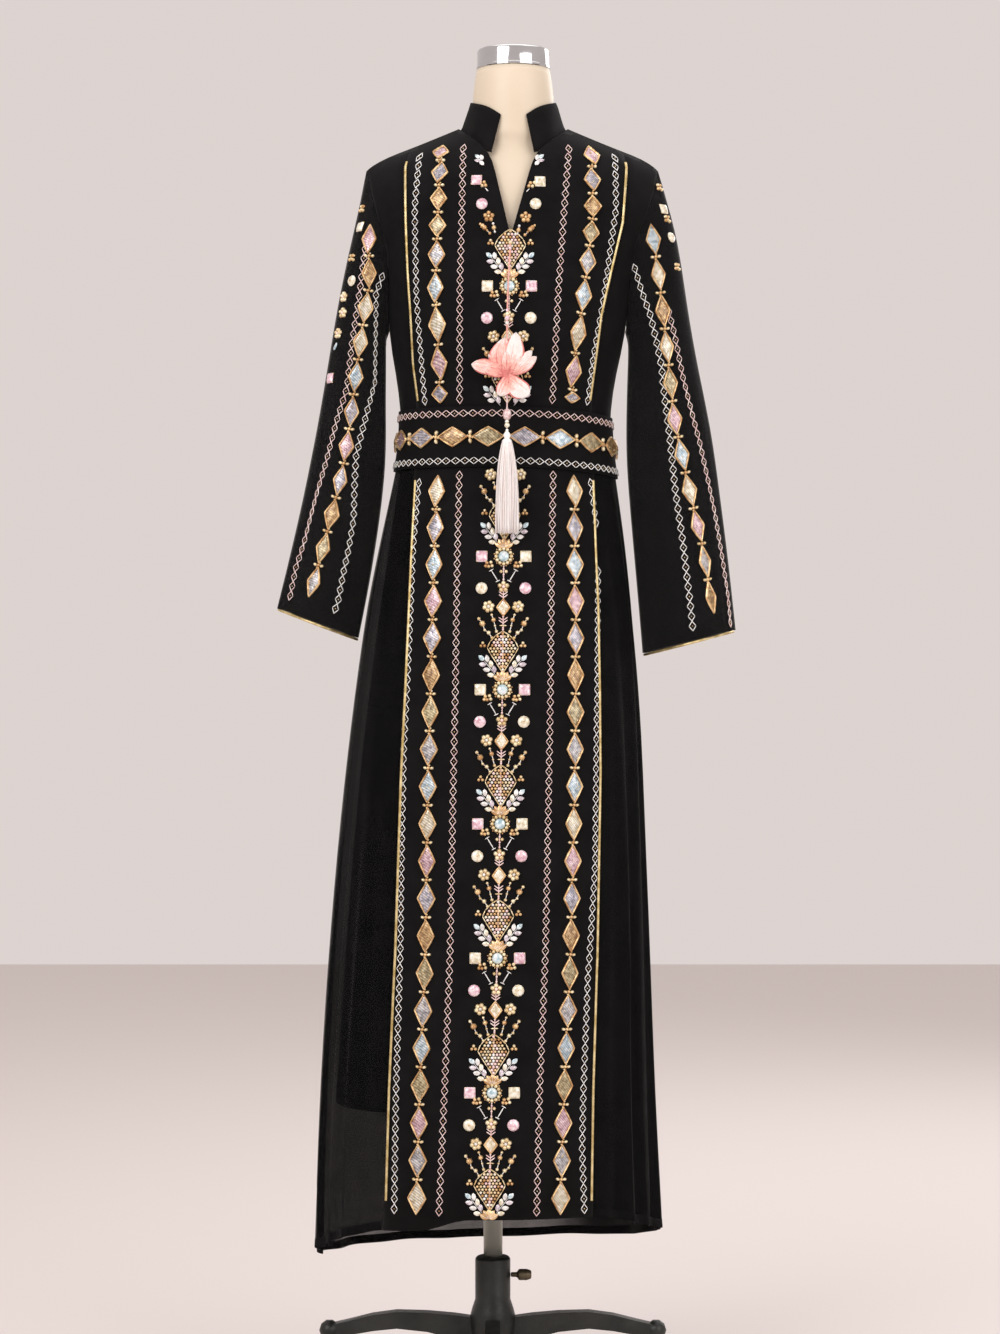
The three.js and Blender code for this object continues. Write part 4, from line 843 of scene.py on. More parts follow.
def bead_diamond(work, spot, long, wide, cloth, dice):
    """One diamond: a pleated middle, a raised rim, and a fine bead here and there."""
    half_long, half_wide = long / 2, wide / 2
    bow = 0.03
    corners = [(0, half_long), (half_wide, 0), (0, -half_long), (-half_wide, 0)]
    edge = []
    for (x1, y1), (x2, y2) in zip(corners, corners[1:] + corners[:1]):
        for step in range(6):
            t = step / 6
            swell = 1 + bow * math.sin(math.pi * t)
            edge.append(((x1 + (x2 - x1) * t) * swell, (y1 + (y2 - y1) * t) * swell))
    count = len(edge)
    verts, faces = [], []
    for share, rise in ((0.98, 0.0005), (0.8, 0.0011), (0.55, 0.0016), (0.28, 0.0014)):
        for k, (x, y) in enumerate(edge):
            pleat = 0.0003 * math.cos(k * 2.4 + share * 9 + dice.random())
            verts.append(spot.at(x * share, y * share, rise + pleat))
    verts.append(spot.at(0, 0, 0.0019))
    for ring in range(3):
        for k in range(count):
            n = (k + 1) % count
            low, high = ring * count, (ring + 1) * count
            faces.append((low + k, high + k, high + n, low + n))
    for k in range(count):
        faces.append((3 * count + k, 4 * count, 3 * count + (k + 1) % count))
    work.add(verts, faces, cloth)
    rim_wide = 0.0011
    rim_section = (
        (-rim_wide, 0.0006), (-rim_wide * 0.4, 0.0024), (rim_wide * 0.5, 0.0023), (rim_wide, 0.0),
    )
    verts, faces = [], []
    for k, (x, y) in enumerate(edge):
        out = Vector((x / half_wide, y / half_long)).normalized()
        for grow, rise in rim_section:
            beaded = 0.0003 if k % 2 and rise > 0.001 else 0.0
            verts.append(spot.at(x + out.x * grow, y + out.y * grow, rise + beaded))
    for k in range(count):
        n = (k + 1) % count
        for step in range(3):
            faces.append((k * 4 + step, n * 4 + step, n * 4 + step + 1, k * 4 + step + 1))
    work.add(verts, faces, rim_tint)
    for _ in range(3):
        x, y = dice.uniform(-0.3, 0.3) * wide, dice.uniform(-0.3, 0.3) * long
        bead(work, Spot(spot.at(x, y, 0.0015), spot.out), 0, 0, 0.0009, gold_tint, around=6)


def bead_bow(work, spot, dice, size=1.0):
    """A round bead between two drawn-out beads that lie across the chain."""
    bead(work, spot, 0, 0, 0.0022 * size, rim_tint, around=8)
    for side in (-1, 1):
        across, up = side * 0.0042 * size, dice.uniform(-0.0003, 0.0003)
        bead(work, spot, across, up, 0.0019 * size, gold_tint, long=1.4, turn=90 - side * 18)
        bead(work, spot, side * 0.001, side * 0.0032, 0.0013 * size, gold_tint, around=6)


def lay_chain(name, node, tree, line_at, runs, wide, cloths, seed):
    """Lays a chain of diamonds along a line. Runs are the places of its links, from one end to the other;
    cloths give each diamond's place in the round of colours."""
    work = Beadwork()
    dice = random.Random(seed)
    for k, (start, end) in enumerate(zip(runs, runs[1:])):
        x, z = line_at((start + end) / 2)
        x2, z2 = line_at(end)
        turn = math.degrees(math.atan2(x2 - x, z2 - z))
        spot, link = spot_on(tree, x, z, chain_lift, turn), spot_on(tree, x2, z2, chain_lift, turn)
        if spot is None:
            continue
        long = (end - start - 0.0065) / max(0.55, spot.up.z)
        cloth = first_cloth_tint + cloths[k % len(cloths)]
        bead_diamond(work, spot, long, wide * dice.uniform(0.94, 1.04), cloth, dice)
        if link and k < len(runs) - 2:
            bead_bow(work, link, dice)
    return work.sew(name, diamond_finishes, node)


def even_runs(length, repeats):
    return [length * k / repeats for k in range(repeats + 1)]


def front_line(table, column, hand, low):
    """A line up a front panel that keeps the table's distance from the middle line."""
    def line_at(run):
        z = low + run / MM
        return middle_x(z) + front_side[hand] * between(table, z, column) * MM, z * MM
    return line_at


bodice_links = {
    "left": [1249, 1277, 1322, 1370, 1412, 1451, 1484, 1518, 1551, 1574],
    "right": [1249, 1268, 1312, 1360, 1404, 1443, 1476, 1508, 1543, 1574],
}
bodice_round = [1, 0, 6, 5, 4, 3, 2, 1, 0]
skirt_round = [6, 4, 0, 3, 5, 4, 3, 2, 1, 0, 6, 5, 4, 3, 2, 1, 0, 5, 1, 6]
for column, hand in enumerate(("left", "right"), 1):
    lay_chain(
        f"bodice_diamonds_{hand}_beads", f"bodice_diamonds_{hand}", surface_tree(front_bodice),
        front_line(diamond_line, column, hand, 0), [z * MM for z in bodice_links[hand]], 0.0215,
        bodice_round, 11 + column,
    )
    lay_chain(
        f"skirt_diamonds_{hand}_beads", f"skirt_diamonds_{hand}", surface_tree(front_skirt),
        front_line(diamond_line, column, hand, 268), even_runs(0.898, 20), 0.0212, skirt_round, 21 + column,
    )

sleeve_chain = {
    "left": [
        (-152, 1478), (-152, 1400), (-165, 1312), (-175, 1230), (-184, 1170), (-202, 1096), (-224, 1012),
    ],
    "right": [
        (195, 1478), (205, 1400), (214, 1320), (222, 1240), (237, 1165), (256, 1080), (270, 992),
    ],
}
sleeve_round = {"left": [4, 3, 2, 1, 0, 1, 5, 6, 6, 2, 0], "right": [2, 4, 0, 6, 5, 0, 3, 6, 2, 6, 5]}


def along_points(points):
    """Gives the place at a distance along the straight stretches between points, from the last to the
    first, and their whole length, in metres."""
    points = [(x * MM + shift_x, z * MM) for x, z in reversed(points)]
    runs = [0.0]
    for (x1, z1), (x2, z2) in zip(points, points[1:]):
        runs.append(runs[-1] + math.hypot(x2 - x1, z2 - z1))

    def line_at(run):
        run = min(max(run, 0.0), runs[-1])
        k = next(i for i in range(1, len(runs)) if run <= runs[i] + 1e-9)
        t = (run - runs[k - 1]) / (runs[k] - runs[k - 1])
        (x1, z1), (x2, z2) = points[k - 1], points[k]
        return x1 + (x2 - x1) * t, z1 + (z2 - z1) * t
    return line_at, runs[-1]


sleeve_shells = {hand: bpy.data.objects[f"sleeve_{hand}_shell"] for hand in ("left", "right")}
for number, hand in enumerate(("left", "right")):
    line_at, length = along_points(sleeve_chain[hand])
    lay_chain(
        f"sleeve_diamonds_{hand}_beads", f"sleeve_diamonds_{hand}", surface_tree(sleeve_shells[hand]),
        line_at, even_runs(length, 11), 0.0175, sleeve_round[hand], 31 + number,
    )

# Lattice chains.
# Two threads cross and cross back to make a chain of small open cells, each with a seed bead in its middle.
# Rose chains run beside the middle of the front, silver ones beside the piping, and both go down the sleeves.
silver_thread = metal_thread("silver_thread", (0.8, 0.79, 0.78), (1.0, 0.99, 0.97), 0.24, 0.42, 140, 0.15)
rose_thread = metal_thread("rose_thread", (0.86, 0.6, 0.58), (1.0, 0.84, 0.81), 0.3, 0.48, 140, 0.1)
lattice_finishes = [silver_thread, rose_thread, gold_beads, copper_beads]
silver_tint, rose_tint, seed_tint, copper_seed_tint = 0, 1, 2, 3
cell_half, lattice_pitch, lattice_lift = 0.0043, 0.012, 0.0006


def lattice_cell(work, spot, pitch, thread_tint, bead_tint):
    for side in (-1, 1):
        for end in (-1, 1):
            tip = (-side * cell_half * 0.08, end * pitch * 0.52)
            stitch(work, spot, (side * cell_half, 0), tip, 0.00095, thread_tint, 0.0009)
    bead(work, spot, 0, 0, 0.0008, bead_tint, around=6)


def lay_lattice(work, tree, line_at, length, thread_tint):
    count = max(1, round(length / lattice_pitch))
    for k in range(count):
        run = (k + 0.5) * length / count
        x, z = line_at(run)
        x2, z2 = line_at(run + 0.003)
        x1, z1 = line_at(run - 0.003)
        spot = spot_on(tree, x, z, lattice_lift, math.degrees(math.atan2(x2 - x1, z2 - z1)))
        if spot:
            seed = seed_tint if k % 3 else copper_seed_tint
            lattice_cell(work, spot, length / count / max(0.6, spot.up.z), thread_tint, seed)


inner_lattice = [
    (268, 60, 57), (420, 57, 57), (800, 57, 58), (1166, 56, 58), (1250, 57.5, 55),
    (1390, 60, 59.6), (1480, 60, 64), (1577, 60.7, 69.5),
]
outer_lattice = [
    (268, 114, 115), (350, 115, 110), (555, 117, 110), (690, 118, 116), (830, 118, 115),
    (980, 113, 115), (1083, 110, 115), (1163, 105, 103), (1250, 100, 98), (1310, 106, 104),
    (1380, 113, 115), (1490, 118, 128), (1575, 114, 126),
]
for part, low, high, shell in (("bodice", 1250, 1572, front_bodice), ("skirt", 270, 1168, front_skirt)):
    work = Beadwork()
    tree = surface_tree(shell)
    for column, hand in enumerate(("left", "right"), 1):
        for table, tint in ((inner_lattice, rose_tint), (outer_lattice, silver_tint)):
            top = high if tint == rose_tint else high - 8
            lay_lattice(work, tree, front_line(table, column, hand, low), (top - low) * MM, tint)
    work.sew(f"{part}_lattice", lattice_finishes)

sleeve_lattice = {
    "left": [
        (rose_tint, [
            (-155, 1462), (-163, 1393), (-173, 1325), (-177, 1290), (-179, 1272), (-192, 1231),
            (-204, 1184), (-218, 1136), (-232, 1082), (-242, 1052), (-250, 1011),
        ]),
        (silver_tint, [
            (-135, 1415), (-144, 1389), (-145, 1332), (-146, 1280), (-158, 1231), (-168, 1189),
            (-170, 1151), (-171, 1112), (-177, 1075), (-183, 1047), (-190, 1009), (-195, 995),
        ]),
    ],
    "right": [
        (silver_tint, [
            (174, 1426), (184, 1391), (194, 1362), (202, 1327), (208, 1296), (210, 1272),
            (218, 1208), (224, 1147), (233, 1082), (242, 1004), (245, 973),
        ]),
        (rose_tint, [
            (215, 1372), (224, 1336), (234, 1285), (245, 1242), (255, 1205), (264, 1164),
            (274, 1117), (283, 1063), (290, 1016), (293, 978),
        ]),
    ],
}
for hand, chains in sleeve_lattice.items():
    work = Beadwork()
    for tint, points in chains:
        line_at, length = along_points(points)
        lay_lattice(work, surface_tree(sleeve_shells[hand]), line_at, length, tint)
    work.sew(f"sleeve_lattice_{hand}", lattice_finishes)

# Belt trimming.
# The belt carries a rose lattice row along its top edge, a silver one along its bottom edge, and a chain
# of bead diamonds laid on their sides between them. All stop at the middle back, where the belt fastens.
belt_tree = surface_tree(belt_shell)
belt_drop, belt_drop_at, belt_away = 9, 150, 9
# The body under the belt, in mm: height, then how far it reaches to the left, right, front and back.
body_outline = [(1173, 137, 136, 104, 93), (1210, 131, 130, 100, 88), (1247, 132, 129, 102, 90)]
body_roundness = 2.2


def round_the_belt(angle, z, lift):
    """Seats a place on the belt by its angle from the front, + to the right, and its height at the middle."""
    s, c = math.sin(math.radians(angle)), math.cos(math.radians(angle))
    s = math.copysign(abs(s) ** (2 / body_roundness), s)
    c = math.copysign(abs(c) ** (2 / body_roundness), c)
    side = between(body_outline, z, 1 if s < 0 else 2)
    deep = between(body_outline, z, 3 if c > 0 else 4)
    from_front = between(middle_line, z) + side * s
    level = z - (belt_drop * (from_front / belt_drop_at) ** 2 if from_front > 0 else 0)
    near = Vector((middle_x(z) + (side + belt_away) * s * MM, -(deep + belt_away) * c * MM, level * MM))
    place, normal, _, _ = belt_tree.find_nearest(near)
    if normal.dot(near - place) < 0:
        normal = -normal
    return place + normal * lift, normal


def lengths_along(places):
    """How far along the path each place lies, in metres."""
    runs = [0.0]
    for a, b in zip(places, places[1:]):
        runs.append(runs[-1] + (b - a).length)
    return runs


work = Beadwork()
for height, tint in ((1238, rose_tint), (1181, silver_tint)):
    rows = [round_the_belt(-174 + k * 0.5, height, lattice_lift) for k in range(697)]
    runs = lengths_along([place for place, _ in rows])
    count = round(runs[-1] / 0.0115)
    for k in range(count):
        want = (k + 0.5) * runs[-1] / count
        n = next(i for i in range(1, len(runs)) if want <= runs[i])
        place, normal = rows[n]
        along = rows[min(n + 1, len(rows) - 1)][0] - rows[n - 1][0]
        spot = Spot(place, normal)
        turn = math.degrees(math.atan2(along.dot(spot.across), along.dot(spot.up)))
        seed = seed_tint if k % 3 else copper_seed_tint
        lattice_cell(work, Spot(place, normal, turn), runs[-1] / count, tint, seed)
work.sew("belt_lattice", lattice_finishes)

belt_repeats, belt_ends, belt_height = 16, 172, 1210
belt_round = [3, 4, 5, 6, 0, 1, 2, 3, 1, 5, 3, 2, 0, 6, 4, 3]
belt_middle = [round_the_belt(-belt_ends + k / 2, belt_height, 0.001)[0] for k in range(4 * belt_ends + 1)]
belt_runs = lengths_along(belt_middle)


def belt_angle(repeats):
    """The angle that lies a number of repeats from the end of the chain."""
    want = belt_runs[-1] * repeats / belt_repeats
    k = next(i for i in range(1, len(belt_runs)) if want <= belt_runs[i] + 1e-9)
    return -belt_ends + (k - 1 + (want - belt_runs[k - 1]) / (belt_runs[k] - belt_runs[k - 1])) / 2


work = Beadwork()
dice = random.Random(51)
for k in range(belt_repeats):
    ends = [round_the_belt(belt_angle(k + part), belt_height, 0.001)[0] for part in (0, 1)]
    place, normal = round_the_belt(belt_angle(k + 0.5), belt_height, 0.0012)
    way = ends[1] - ends[0]
    spot = Spot(place, normal)
    turn = math.degrees(math.atan2(way.dot(spot.across), way.dot(spot.up)))
    cloth = first_cloth_tint + belt_round[k]
    bead_diamond(work, Spot(place, normal, turn), way.length - 0.0062, 0.0235, cloth, dice)
    if k < belt_repeats - 1:
        place, normal = round_the_belt(belt_angle(k + 1), belt_height, 0.001)
        bead_bow(work, Spot(place, normal, turn), dice, 1.25)
work.sew("belt_diamonds_beads", diamond_finishes, "belt_diamonds")

# Middle ornament.
# A chain down the middle of the front, repeated every 161 mm: a round stone in gold beads between square
# gems, twigs, a flower, round gems, rosettes, a small diamond, a netted kite between sprays of sequin
# leaves, and a gold fan that opens on to the next stone. A rose cord runs down through them.
stone_heights = {"skirt": [1224, 1063, 901.5, 740, 579, 418], "bodice": [1391, 1552]}
stone_blue = pearly("stone_pale_blue", (0.34, 0.5, 0.58), (0.62, 0.76, 0.8), (0.93, 0.96, 0.97), 0.2, 0.16)
stone_pink = pearly("stone_pink", (0.66, 0.36, 0.44), (0.84, 0.6, 0.67), (0.98, 0.88, 0.9), 0.2, 0.16)
stone_cream = pearly("stone_cream", (0.62, 0.53, 0.36), (0.86, 0.79, 0.62), (1.0, 0.97, 0.88), 0.2, 0.16)
leaf_white = pearly("leaf_white", (0.58, 0.55, 0.52), (0.82, 0.79, 0.76), (1.0, 0.98, 0.96), 0.1, 0.26)
leaf_lilac = pearly("leaf_lilac", (0.42, 0.34, 0.4), (0.66, 0.57, 0.62), (0.88, 0.82, 0.85), 0.15, 0.26)
ornament_finishes = [
    copper_beads, gold_beads, silver_thread, rose_thread, stone_blue, stone_pink, stone_cream,
    leaf_white, leaf_lilac,
]
copper, gold, silver, rose, blue_stone, pink_stone, cream_stone, white_leaf, lilac_leaf = range(9)
gem_lift = 0.0007


def cut_stone(work, spot, across, up, outline, tint, high=0.0032):
    """A flat-backed stone: girdle, slanting crown facets and a flat table."""
    count = len(outline)
    verts = []
    for share, rise in ((1.0, 0.0), (1.0, 0.25), (0.78, 0.75), (0.5, 1.0)):
        for x, y in outline:
            verts.append(spot.at(across + x * share, up + y * share, high * rise))
    faces = ring_faces(4, count)
    faces.append(tuple(range(3 * count, 4 * count)))
    work.add(verts, faces, tint, soft=False)


def round_outline(radius, sides=12):
    turns = [2 * math.pi * k / sides for k in range(sides)]
    return [(radius * math.cos(a), radius * math.sin(a)) for a in turns]


def square_outline(half):
    near = half * 0.72
    return [
        (half, -near), (half, near), (near, half), (-near, half),
        (-half, near), (-half, -near), (-near, -half), (near, -half),
    ]


def round_gem(work, spot, across, up, radius, tint):
    cut_stone(work, spot, across, up, round_outline(radius), tint)
    top = Spot(spot.at(across, up, 0.0022), spot.out)
    bead(work, top, 0, 0, 0.0013, rose if tint == pink_stone else copper, around=6)


def square_gem(work, spot, across, up, half, tint):
    cut_stone(work, spot, across, up, square_outline(half), tint)
    for x in (-1, 1):
        for y in (-1, 1):
            bead(work, spot, across + x * half * 0.86, up + y * half * 0.86, 0.0011, gold, around=6)


def leaf(work, spot, across, up, long, wide, turn, tint):
    """A pointed sequin leaf folded a little along its vein."""
    c, s = math.cos(math.radians(turn)), math.sin(math.radians(turn))
    verts, faces = [], []
    profile = ((-0.5, 0.05), (-0.28, 0.78), (0.0, 1.0), (0.28, 0.74), (0.5, 0.05))
    for along, spread in profile:
        for side, rise in ((-1, 0.0007), (0, 0.0022), (1, 0.0007)):
            p, q = side * spread * wide / 2, along * long
            out = rise * (0.5 + 0.5 * spread) + 0.0003
            verts.append(spot.at(across + p * c + q * s, up + q * c - p * s, out))
    for k in range(len(profile) - 1):
        a = k * 3
        faces += [(a, a + 1, a + 4, a + 3), (a + 1, a + 2, a + 5, a + 4)]
    work.add(verts, faces, tint)
    vein = Spot(spot.at(across, up, 0.0021), spot.out)
    x, y = long * 0.42 * s, long * 0.42 * c
    stitch(work, vein, (-x, -y), (x, y), 0.0006, silver, 0.0004)


def bead_flower(work, spot, across, up, radius, petals, tint, heart):
    for k in range(petals):
        a = 2 * math.pi * (k + 0.25) / petals
        x, y = radius * 0.62 * math.cos(a), radius * 0.62 * math.sin(a)
        bead(work, spot, across + x, up + y, radius * 0.4, tint, around=7)
    bead(work, spot, across, up, radius * 0.32, heart, high=1.1, around=6)


def bead_twig(work, spot, points, tint, radius=0.0011, thread=silver):
    """Beads threaded on a laid stitch from point to point."""
    for start, end in zip(points, points[1:]):
        stitch(work, spot, start, end, 0.001, thread)
    for k, (x, y) in enumerate(points):
        size = radius * (1, 1.75, 0.85, 1.2, 0.9)[k % 5]
        bead(work, spot, x, y, size, copper if k == 1 else tint, around=7)


def bead_cluster(work, spot, places, radius, odd, even):
    """Beads scattered over places given in mm; every other one has the second colour."""
    for k, (x, y) in enumerate(places):
        bead(work, spot, x * MM, y * MM, radius, odd if k % 2 else even)


def netted_kite(work, spot, up, high, wide, dice):
    """A kite with rounded shoulders: a gold outline filled with a net of small beads of several colours."""
    top, widest, low = up, up - high * 0.4, up - high
    outline = [
        (0, top), (wide * 0.23, top - high * 0.11), (wide * 0.41, top - high * 0.25),
        (wide * 0.5, widest), (wide * 0.4, up - high * 0.54), (wide * 0.2, up - high * 0.77), (0, low),
    ]
    half_path = outline + [(-x, y) for x, y in reversed(outline[1:-1])]
    for start, end in zip(half_path, half_path[1:] + half_path[:1]):
        stitch(work, spot, start, end, 0.0015, gold, 0.0016)

    def half_at(y):
        for (x1, y1), (x2, y2) in zip(outline, outline[1:]):
            if y2 <= y <= y1:
                return x1 + (x2 - x1) * (y1 - y) / max(y1 - y2, 1e-6)
        return 0.0
    pitch = 0.0042
    for row in range(int(high / pitch * 1.15)):
        y = top - 0.003 - row * pitch * 0.87
        for column in range(-6, 7):
            x = (column + (0.5 if row % 2 else 0.0)) * pitch
            if abs(x) < half_at(y) - 0.0016:
                tint = dice.choice((copper, copper, copper, gold, gold, rose, rose, silver, cream_stone))
                bead(work, spot, x, y, 0.0019, tint, around=6)


def ornament_unit(work, tree, stone, low, high, flip, dice):
    """One repeat; places are given from the round stone's middle, in mm, across and down."""
    def put(across, down, make):
        z = stone - down
        spot = spot_on(tree, middle_x(z) + across * MM, z * MM, gem_lift)
        if spot and low < z < high:
            make(spot)

    def both(across, down, make):
        for side in (-1, 1):
            put(side * across, down, lambda spot, side=side: make(spot, side))

    left_gem, right_gem = (pink_stone, cream_stone) if flip else (cream_stone, pink_stone)

    def stone_ring(spot):
        cut_stone(work, spot, 0, 0, round_outline(0.0066, 14), blue_stone, 0.0038)
        for k in range(12):
            a = 2 * math.pi * k / 12
            bead(work, spot, 0.0092 * math.cos(a), 0.0092 * math.sin(a), 0.0025, gold, around=7)
            a += 0.26
            bead(work, spot, 0.0118 * math.cos(a), 0.0118 * math.sin(a), 0.001, copper, around=6)

    def crossed_stitches(spot, side):
        for start, end, wide in (
            ((side * 0.0042, 0.0066), (-side * 0.0038, -0.0066), 0.0012),
            ((side * 0.0015, 0.0084), (side * 0.0068, 0.0052), 0.0011),
            ((-side * 0.0064, -0.0052), (-side * 0.0012, -0.0078), 0.0011),
        ):
            stitch(work, spot, start, end, wide, silver, 0.001)

    def small_twig(spot, side):
        points = ((0.0028, 0.009), (0.0006, 0.0028), (-0.0012, -0.0042), (-0.003, -0.0112))
        bead_twig(work, spot, [(side * x, y) for x, y in points], gold, 0.0018)

    def large_twig(spot, side):
        points = (
            (0.0078, 0.0104), (0.0036, 0.0044), (0.0006, -0.0034), (-0.0042, -0.0068),
            (-0.0082, -0.0128),
        )
        bead_twig(work, spot, [(side * x, y) for x, y in points], gold, 0.0023)

    def three_beads(spot, side):
        for x, y, tint in ((0, 2, gold), (-2.2, -1.6, copper), (2.2, -1.6, copper)):
            bead(work, spot, x * MM, y * MM, 0.0021, tint)

    def fan_leaf(spot, turn):
        x, y = 0.0062 * math.sin(math.radians(turn)), 0.0062 * math.cos(math.radians(turn))
        leaf(work, spot, x, y - 0.003, 0.0124, 0.0066, turn, copper)

    scattered = ((-2.8, 1.6), (2.2, 2.4), (-0.6, -2.6), (3.6, -1.8), (-4.2, -2.2))
    put(0, 0, stone_ring)
    both(26.6, 0, lambda spot, side: square_gem(
        work, spot, 0, 0, 0.0068, left_gem if side < 0 else right_gem,
    ))
    both(17.6, 9.6, lambda spot, side: bead_cluster(work, spot, scattered, 0.0023, gold, copper))
    both(10.7, 23.5, crossed_stitches)
    both(3.1, 18.5, lambda spot, side: bead(work, spot, 0, 0, 0.0022, gold))
    put(0, 37, lambda spot: bead_flower(work, spot, 0, 0, 0.0074, 5, gold, rose))
    both(26.4, 38.7, lambda spot, side: round_gem(
        work, spot, 0, 0, 0.0072, right_gem if side < 0 else left_gem,
    ))
    for down in (45, 48.5, 76, 79.5):
        both(2.2, down, lambda spot, side: stitch(
            work, spot, (side * 0.0032, 0.0022), (-side * 0.0022, -0.0018), 0.0013, rose, 0.001,
        ))
    put(0, 62, lambda spot: bead_diamond(work, spot, 0.0205, 0.0155, cream_stone, dice))
    both(17.9, 61, lambda spot, side: bead_flower(work, spot, 0, 0, 0.0076, 6, gold, white_leaf))
    both(11, 80, small_twig)
    both(21.5, 86, large_twig)
    put(0, 84, lambda spot: stitch(work, spot, (-0.0042, 0), (0.0042, 0), 0.0018, gold, 0.0012))
    put(0, 116, lambda spot: netted_kite(work, spot, 0.0255, 0.051, 0.0375, dice))
    both(24.2, 107, three_beads)
    for across, down, turn, tint in (
        (25.6, 123.2, 48, blue_stone), (18.8, 124.0, 8, white_leaf), (24.0, 131.0, 84, lilac_leaf),
        (14.2, 130.4, 8, cream_stone), (19.2, 137.4, 84, white_leaf), (10.2, 137.0, 8, lilac_leaf),
        (14.2, 143.8, 84, cream_stone),
    ):
        both(across, down, lambda spot, side, turn=turn, tint=tint: leaf(
            work, spot, 0, 0, 0.0092, 0.0056, side * turn, tint,
        ))
    both(16.5, 133.5, lambda spot, side: stitch(
        work, spot, (side * 0.0062, 0.0076), (-side * 0.0082, -0.0104), 0.0009, silver,
    ))
    for turn in (-64, -33, 0, 33, 64):
        put(0, 147.5, lambda spot, turn=turn: fan_leaf(spot, turn))
    for down in (15.5, 22, 28, 54, 70, 73, 87, 89):
        put(0, down, lambda spot: bead(work, spot, 0, 0, 0.0014, rose, around=6))


for part, low, high, shell in (("skirt", 268, 1167, front_skirt), ("bodice", 1252, 1458, front_bodice)):
    work = Beadwork()
    dice = random.Random(61 if part == "skirt" else 67)
    tree = surface_tree(shell)
    for number, stone in enumerate(stone_heights[part]):
        ornament_unit(work, tree, stone, low, high, number % 2 == 1, dice)
    spine_top = 1164 if part == "skirt" else 1448
    runs = list(range(low + 4, spine_top, 3))
    for below, above in zip(runs, runs[1:]):
        spot = spot_on(tree, middle_x(below), below * MM, 0.0004)
        if spot:
            reach = middle_x(above) - middle_x(below)
            stitch(work, spot, (0, 0), (reach, 0.0034), 0.0014, rose, 0.0011)
    work.sew(f"{part}_ornament_beads", ornament_finishes, f"{part}_ornament")

# The V of the neck.
# Beads and gems edge the opening on both sides: leaf pairs at the collar points, a square and a round
# gem, bead flowers and twigs that run down to the kite under the point of the V.
work = Beadwork()
tree = surface_tree(front_bodice)
neck_pieces = [
    (-13.6, 1549, "leaves"), (54.6, 1549, "leaves"), (-19.5, 1523, "pink_square"),
    (57.8, 1521, "cream_square"), (-12.4, 1518, "cluster"), (48.2, 1517, "cluster"),
    (-13, 1493, "pink_round"), (52.2, 1493, "cream_round"), (-4.6, 1477, "flower"),
    (40.2, 1476, "flower"), (-9.6, 1463, "twig"), (45.6, 1461, "twig"),
    (1.6, 1463, "beads"), (31.4, 1460, "beads"),
]
for x, z, kind in neck_pieces:
    spot = spot_on(tree, x * MM + shift_x, z * MM, gem_lift)
    if spot is None:
        continue
    side = -1 if x < 20 else 1
    if kind == "leaves":
        for across, up, turn, tint in (
            (5, 5, 52, blue_stone), (0, 3.4, 18, white_leaf), (4, -1, 84, lilac_leaf),
            (-1, -5, 40, white_leaf),
        ):
            leaf(work, spot, side * across * MM, up * MM, 0.0092, 0.0052, side * turn, tint)
    elif kind.endswith("square"):
        square_gem(work, spot, 0, 0, 0.0066, pink_stone if "pink" in kind else cream_stone)
    elif kind.endswith("round"):
        round_gem(work, spot, 0, 0, 0.0071, pink_stone if "pink" in kind else cream_stone)
    elif kind == "cluster":
        places = [(-side * x, y) for x, y in ((-2.6, 2.4), (2.2, 2.0), (0, -2.4), (4.2, -2.2))]
        bead_cluster(work, spot, places, 0.0023, copper, gold)
        stitch(work, spot, (-side * 0.0036, -0.0054), (-side * 0.0076, -0.0098), 0.0012, silver, 0.001)
    elif kind == "flower":
        bead_flower(work, spot, 0, 0, 0.0072, 5, copper, gold)
    elif kind == "twig":
        bead(work, spot, 0, 0, 0.0034, copper)
        points = ((0.0054, 0.0048), (0.0026, 0.0022), (-0.003, -0.0034), (-0.0064, -0.0072))
        bead_twig(work, spot, [(side * x, y) for x, y in points], copper, 0.0018)
    else:
        bead_twig(work, spot, [(side * 0.001, 0.0052), (0, 0), (-side * 0.0012, -0.0052)], silver, 0.0017)
work.sew("neck_beads", ornament_finishes)

